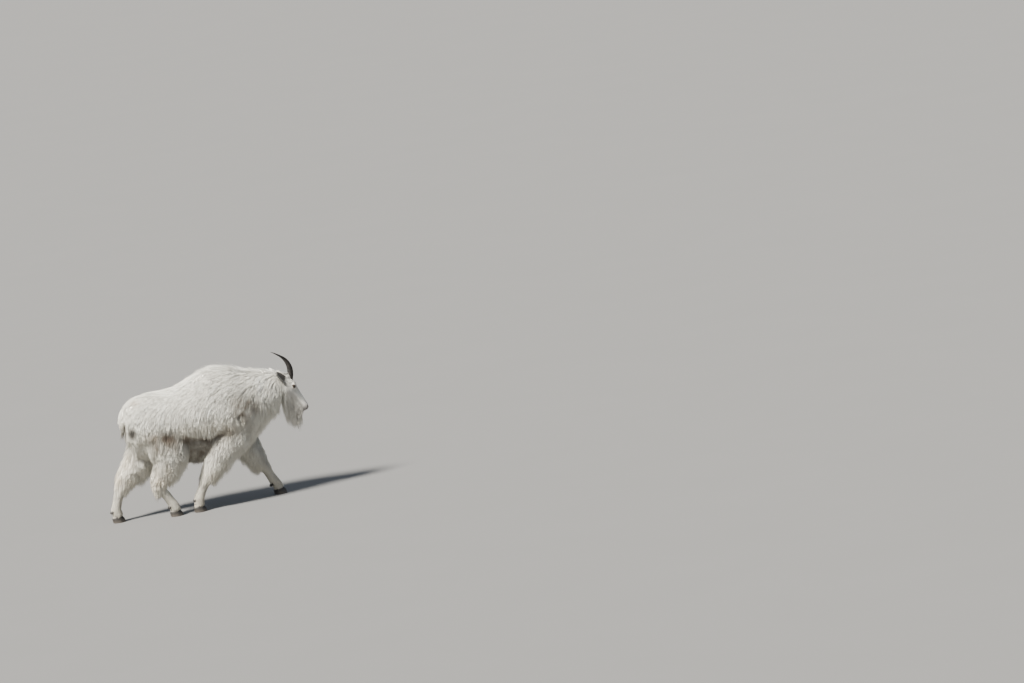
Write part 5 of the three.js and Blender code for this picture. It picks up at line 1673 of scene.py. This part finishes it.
# Pieces of the coat: whether long or short, the parts that they cover, their tufts' spacing and width against
# the settings, and their seed.
COATS = {
    "body_coat": ("long", [TORSO], 1.0, 1.0, 101),
    "neck_coat": ("long", [NECK], 1.0, 0.95, 201),
    "tail_coat": ("long", [TAIL], 0.8, 0.8, 301),
    "foreleg_coat": ("long", [FORELIMB], 1.0, 0.9, 401),
    "thigh_coat": ("long", [HINDLIMB], 1.0, 0.9, 501),
    "feet_coat": ("short", [FORELIMB, HINDLIMB, TAIL, TORSO, NECK], 1.15, 1.2, 601),
    "face_coat": ("short", [HEAD, EAR], 0.85, 0.8, 701),
    "beard": ("long", [HEAD, EAR], 0.66, 0.7, 801),
}


def grow_coats(context, *names):
    """Grows pieces of the coat by the settings and their rows in COATS."""
    coat = context.scene.goat_coat
    for name in names:
        kind, parts, spacing, width, seed = COATS[name]
        if kind == "long":
            long_coat(the_skin(), name, parts, coat.tuft_spacing * spacing, coat.tuft_width * width, seed,
                      coat.length_scale)
        else:
            short_coat(the_skin(), name, parts, coat.short_spacing * spacing, coat.short_width * width, seed)


# Settings

class CoatSettings(bpy.types.PropertyGroup):
    tuft_width: bpy.props.FloatProperty(
        name="Tuft width", description="Width of a tuft of the long coat", default=3.5 * MM, min=0.001,
        subtype="DISTANCE", unit="LENGTH")
    tuft_spacing: bpy.props.FloatProperty(
        name="Tuft spacing", description="Least distance between tufts of the long coat", default=4.25 * MM,
        min=0.003, subtype="DISTANCE", unit="LENGTH")
    short_width: bpy.props.FloatProperty(
        name="Short tuft width", description="Width of a tuft on the face and feet", default=1.7 * MM,
        min=0.0005, subtype="DISTANCE", unit="LENGTH")
    short_spacing: bpy.props.FloatProperty(
        name="Short tuft spacing", description="Least distance between tufts on the face and feet",
        default=2.6 * MM, min=0.002, subtype="DISTANCE", unit="LENGTH")
    length_scale: bpy.props.FloatProperty(
        name="Length", description="Length of the long coat against its usual one", default=1.0, min=0.5,
        max=1.3)
    softness: bpy.props.FloatProperty(
        name="Softness", description="How far the light treats the coat as one soft body", default=0.78, min=0,
        max=1, subtype="FACTOR")


class StageSettings(bpy.types.PropertyGroup):
    floor_colour: bpy.props.FloatVectorProperty(
        name="Floor colour", description="Colour of the floor", default=(0.135, 0.133, 0.128), size=3,
        subtype="COLOR", min=0, max=1)
    floor_size: bpy.props.FloatProperty(
        name="Floor size", description="Length of the floor's sides", default=400.0, min=10, subtype="DISTANCE",
        unit="LENGTH")
    key_strength: bpy.props.FloatProperty(
        name="Key light", description="Strength of the main light", default=17.5, min=0)
    sky_strength: bpy.props.FloatProperty(
        name="Sky light", description="Strength of the light from all round", default=0.47, min=0)
    azimuth: bpy.props.FloatProperty(
        name="Azimuth", description="Turn of the camera round the goat", default=math.radians(-14),
        subtype="ANGLE", unit="ROTATION")
    elevation: bpy.props.FloatProperty(
        name="Elevation", description="Angle of the camera above the floor", default=math.radians(8),
        subtype="ANGLE", unit="ROTATION")
    tilt: bpy.props.FloatProperty(
        name="Tilt", description="Roll of the camera", default=math.radians(8), subtype="ANGLE",
        unit="ROTATION")
    lens: bpy.props.FloatProperty(
        name="Lens", description="Focal length of the camera in millimetres", default=250.0, min=20)
    pixel: bpy.props.FloatProperty(
        name="Size of a pixel", description="Width that one pixel of the picture covers at the goat",
        default=6.7 * MM, min=0.0005, subtype="DISTANCE", unit="LENGTH", precision=5)


# Operators

class GOAT_OT_skin(bpy.types.Operator):
    """Make the goat's skin, with the fields of its coat"""
    bl_idname = "goat.skin"
    bl_label = "Skin"

    def execute(self, context):
        guides = link(join("guides", [loft(name, form, 60, 40) for name, form in FORMS.items()]))
        mesh = unite(body_mesh(), head_mesh())
        mesh.name = "skin"
        mesh.shade_smooth()
        points, normals = places(mesh), outward(mesh)
        found = read_surface(guides, points, (), ("form", "station", "turn_cos"))
        drop(guides)
        fields = coat_fields(points, normals, found)
        part = fields["part"]
        bare = bare_nose(points)
        columns = [fields[key] for key in ("length", "depth", "drape", "curl", "lie")]
        evened = spread(mesh, np.column_stack(columns), 14)
        lids = np.zeros(len(points))
        for side in SIDES:
            near = np.linalg.norm(points / MM - eye_axes(side)[0], axis=1) < LID_REACH
            lids = np.maximum(lids, near * smooth(1.55, 1.35, eye_opening(points, side)[0]))
        bare = np.maximum(bare, lids)
        length = evened[:, 0] * MM
        store(mesh, "length", length, "FLOAT")
        store(mesh, "depth", evened[:, 1] * MM, "FLOAT")
        store(mesh, "drape", evened[:, 2], "FLOAT")
        store(mesh, "curl", evened[:, 3], "FLOAT")
        store(mesh, "lie", unit(evened[:, 4:7]), "FLOAT_VECTOR")
        store(mesh, "outward", unit(spread(mesh, normals, 16)), "FLOAT_VECTOR")
        # A face belongs to one part, so that no place between two parts is taken for a third.
        starts = np.empty(len(mesh.polygons), np.int32)
        mesh.polygons.foreach_get("loop_start", starts)
        store(mesh, "part", part[corner_vertices(mesh)[starts]], "FLOAT", "FACE")
        store(mesh, "bare", bare, "FLOAT")
        store(mesh, "shaggy", (length > LONG_HAIR * 0.9) * (bare < 0.5), "FLOAT")
        cup = ear_cup_dark_and_shade(points, normals)
        sleek = (length < LONG_HAIR * 1.1) * (bare < 0.5) * (cup < 0.3)
        store(mesh, "sleek", sleek * fields["grown"], "FLOAT")
        along, above, left = head_axes(points)
        groom = np.where((part == HEAD)[:, None], np.stack([above, left, 0.12 * along], axis=1),
                         points / MM * (1, 1, 0.12))
        store(mesh, "groom", groom, "FLOAT_VECTOR")
        tint = markings(points, part, cup)
        store(mesh, "tint_vector", tint, "FLOAT_VECTOR")
        # Painted shade: the skin is darker where the hair over it is long, as the coat shades it.
        shade = mix(0.78, 0.94, smooth(0.03, 0.012, length))[:, None]
        tint = np.where(bare[:, None] > 0.5, tint, tint * shade)
        store(mesh, "tint", np.column_stack([tint, np.ones(len(points))]), "FLOAT_COLOR")
        skin = put(mesh, skin_material(), FLESH_NODES)
        bpy.context.view_layer.objects.active = skin
        skin.select_set(True)
        bpy.ops.object.mode_set(mode="EDIT")
        bpy.ops.mesh.select_all(action="SELECT")
        bpy.ops.uv.smart_project(angle_limit=math.radians(70), island_margin=0.001)
        bpy.ops.object.mode_set(mode="OBJECT")
        mesh.uv_layers.active.name = "OFBake"
        return {"FINISHED"}


class GOAT_OT_coat_map(bpy.types.Operator):
    """Keep the skin's unwrap as places that the tufts can read"""
    bl_idname = "goat.coat_map"
    bl_label = "Coat map"

    def execute(self, context):
        mesh = the_skin().data
        places_on_map = np.empty(len(mesh.loops) * 2, np.float32)
        mesh.uv_layers["OFBake"].data.foreach_get("uv", places_on_map)
        flat = np.column_stack([places_on_map.reshape(-1, 2), np.zeros(len(mesh.loops))])
        store(mesh, "map_place", flat, "FLOAT_VECTOR", "CORNER")
        hair_material(context.scene.goat_coat.softness)
        return {"FINISHED"}


class GOAT_OT_body_coat(bpy.types.Operator):
    """Grow the long coat of the back, the flanks and the belly"""
    bl_idname = "goat.body_coat"
    bl_label = "Body coat"

    def execute(self, context):
        grow_coats(context, "body_coat")
        return {"FINISHED"}


class GOAT_OT_neck_coat(bpy.types.Operator):
    """Grow the coat of the neck, the crown and the chest"""
    bl_idname = "goat.neck_coat"
    bl_label = "Neck coat"

    def execute(self, context):
        grow_coats(context, "neck_coat")
        return {"FINISHED"}


class GOAT_OT_tail_coat(bpy.types.Operator):
    """Grow the hair of the tail"""
    bl_idname = "goat.tail_coat"
    bl_label = "Tail coat"

    def execute(self, context):
        grow_coats(context, "tail_coat")
        return {"FINISHED"}


class GOAT_OT_leg_coats(bpy.types.Operator):
    """Grow the long hair of the thighs and forearms"""
    bl_idname = "goat.leg_coats"
    bl_label = "Leg coats"

    def execute(self, context):
        grow_coats(context, "foreleg_coat", "thigh_coat")
        return {"FINISHED"}


class GOAT_OT_feet_coat(bpy.types.Operator):
    """Grow the short hair of the lower legs"""
    bl_idname = "goat.feet_coat"
    bl_label = "Feet coat"

    def execute(self, context):
        grow_coats(context, "feet_coat")
        return {"FINISHED"}


class GOAT_OT_face_coat(bpy.types.Operator):
    """Grow the short hair of the face and ears, the hair of the crown and the beard"""
    bl_idname = "goat.face_coat"
    bl_label = "Face coat and beard"

    def execute(self, context):
        grow_coats(context, "face_coat", "beard")
        return {"FINISHED"}


class GOAT_OT_eyes(bpy.types.Operator):
    """Make the two eyes"""
    bl_idname = "goat.eyes"
    bl_label = "Eyes"

    def execute(self, context):
        finish = eye_material()
        for word, side in (("left", 1), ("right", -1)):
            put(eye_mesh(f"{word}_eyeball", side), finish, [f"eye_{word}"])
        return {"FINISHED"}


class GOAT_OT_horns(bpy.types.Operator):
    """Make the two horns"""
    bl_idname = "goat.horns"
    bl_label = "Horns"

    def execute(self, context):
        finish = horn_material()
        for word, side in (("left", 1), ("right", -1)):
            put(horn_mesh(f"{word}_horn", side), finish, [f"horn_{word}"])
        return {"FINISHED"}


class GOAT_OT_hooves(bpy.types.Operator):
    """Make the hooves and dewclaws of the four feet"""
    bl_idname = "goat.hooves"
    bl_label = "Hooves"

    def execute(self, context):
        finish = hoof_material()
        for name, limb in LIMBS.items():
            for word, inner in (("inner", True), ("outer", False)):
                put(claw_mesh(f"{name}_{word}_claw", limb, inner), finish, [f"hoof_{name}_{word}"])
                put(dewclaw_mesh(f"{name}_{word}_spur", limb, FORMS[name], inner), finish,
                    [f"dewclaw_{name}_{word}"])
        return {"FINISHED"}


# The photo's size in pixels, a place in it, and the place of the model that is seen there.
FRAME_WIDTH, FRAME_HEIGHT = 1024, 683
PLACE_IN_PHOTO = (203, 516)
PLACE_IN_MODEL = np.array([-0.105, 0.0, -0.045])
SENSOR_WIDTH = 36.0
# The fill light's strength against the key light's.
FILL_SHARE = 0.015


def matrix_of(back, right=None, above=None):
    """Rotation whose third axis is back, as a lamp or a camera looks the other way."""
    if right is None:
        right = unit(np.cross(UP, back))
        above = np.cross(back, right)
    return Matrix(np.column_stack([right, above, back]).tolist())


class GOAT_OT_stage(bpy.types.Operator):
    """Set up the floor, the lights and the camera"""
    bl_idname = "goat.stage"
    bl_label = "Stage"

    def execute(self, context):
        stage = context.scene.goat_stage
        half = stage.floor_size / 2
        corners = np.array([(-half, -half, 0), (half, -half, 0), (half, half, 0), (-half, half, 0)])
        floor = link(new_mesh("floor", corners, [(0, 1, 2, 3)]))
        finish, nodes, wire, shader = material("pale_floor", Roughness=0.85)
        grain = noise(nodes, wire, object_place(nodes), 1.4, 5.0)
        pale = tuple(stage.floor_colour)
        dim = tuple(0.95 * value for value in pale)
        wire(blend_colour(nodes, wire, grain, pale, dim), shader.inputs["Base Color"])
        floor.data.materials.append(finish)

        # The key light comes from above, from behind the goat and a little from the camera's side, as in the
        # photo. The fill light and the sky light the shade.
        for name, strength, spread_angle, toward, colour in (
                ("key", stage.key_strength, 14, (-0.60, -0.33, 0.76), (1.0, 0.965, 0.90)),
                ("fill", stage.key_strength * FILL_SHARE, 70, (0.8, -0.55, 0.45), (0.85, 0.92, 1.0))):
            lamp = bpy.data.lights.new(name, "SUN")
            lamp.energy = strength
            lamp.angle = math.radians(spread_angle)
            lamp.color = colour
            light = bpy.data.objects.new(name, lamp)
            context.scene.collection.objects.link(light)
            light.rotation_mode = "QUATERNION"
            light.rotation_quaternion = matrix_of(unit(np.array(toward))).to_quaternion()
        world = bpy.data.worlds.new("sky")
        world.use_nodes = True
        background = world.node_tree.nodes["Background"]
        background.inputs["Color"].default_value = (0.74, 0.84, 1.0, 1)
        background.inputs["Strength"].default_value = stage.sky_strength
        context.scene.world = world

        # The camera: right and up of the picture, turned by the tilt, and a goal off the goat, which keeps the
        # goat at its place in the photo's frame.
        turn, rise, tilt = stage.azimuth, stage.elevation, stage.tilt
        back = np.array([math.sin(turn) * math.cos(rise), -math.cos(turn) * math.cos(rise), math.sin(rise)])
        level = np.array([math.cos(turn), math.sin(turn), 0.0])
        upright = np.cross(back, level)
        right = level * math.cos(tilt) - upright * math.sin(tilt)
        above = level * math.sin(tilt) + upright * math.cos(tilt)
        goal = (PLACE_IN_MODEL + right * (FRAME_WIDTH / 2 - PLACE_IN_PHOTO[0]) * stage.pixel
                + above * (PLACE_IN_PHOTO[1] - FRAME_HEIGHT / 2) * stage.pixel)
        lens = bpy.data.cameras.new("camera")
        lens.lens = stage.lens
        lens.sensor_width = SENSOR_WIDTH
        distance = stage.lens / SENSOR_WIDTH * FRAME_WIDTH * stage.pixel
        lens.clip_start, lens.clip_end = 0.5, 1000
        camera = bpy.data.objects.new("camera", lens)
        context.scene.collection.objects.link(camera)
        camera.rotation_mode = "QUATERNION"
        camera.rotation_quaternion = matrix_of(back, right, above).to_quaternion()
        camera.location = goal + back * distance
        context.scene.camera = camera
        return {"FINISHED"}


class GOAT_PT_panel(bpy.types.Panel):
    """Settings and steps of the goat"""
    bl_idname = "GOAT_PT_panel"
    bl_label = "Mountain goat"
    bl_space_type = "VIEW_3D"
    bl_region_type = "UI"
    bl_category = "Goat"

    def draw(self, context):
        for group in (context.scene.goat_coat, context.scene.goat_stage):
            box = self.layout.box()
            for name in group.__annotations__:
                box.prop(group, name)
        for operator in OPERATORS:
            self.layout.operator(operator.bl_idname)


OPERATORS = (
    GOAT_OT_skin, GOAT_OT_coat_map, GOAT_OT_body_coat, GOAT_OT_neck_coat, GOAT_OT_tail_coat, GOAT_OT_leg_coats,
    GOAT_OT_feet_coat, GOAT_OT_face_coat, GOAT_OT_eyes, GOAT_OT_horns, GOAT_OT_hooves, GOAT_OT_stage)
CLASSES = (CoatSettings, StageSettings, *OPERATORS, GOAT_PT_panel)


def register():
    for cls in CLASSES:
        bpy.utils.register_class(cls)
    bpy.types.Scene.goat_coat = bpy.props.PointerProperty(type=CoatSettings)
    bpy.types.Scene.goat_stage = bpy.props.PointerProperty(type=StageSettings)


def unregister():
    del bpy.types.Scene.goat_stage
    del bpy.types.Scene.goat_coat
    for cls in reversed(CLASSES):
        bpy.utils.unregister_class(cls)


def main():
    register()
    for operator in OPERATORS:
        group, name = operator.bl_idname.split(".")
        getattr(getattr(bpy.ops, group), name)()


if __name__ == "__main__":
    main()
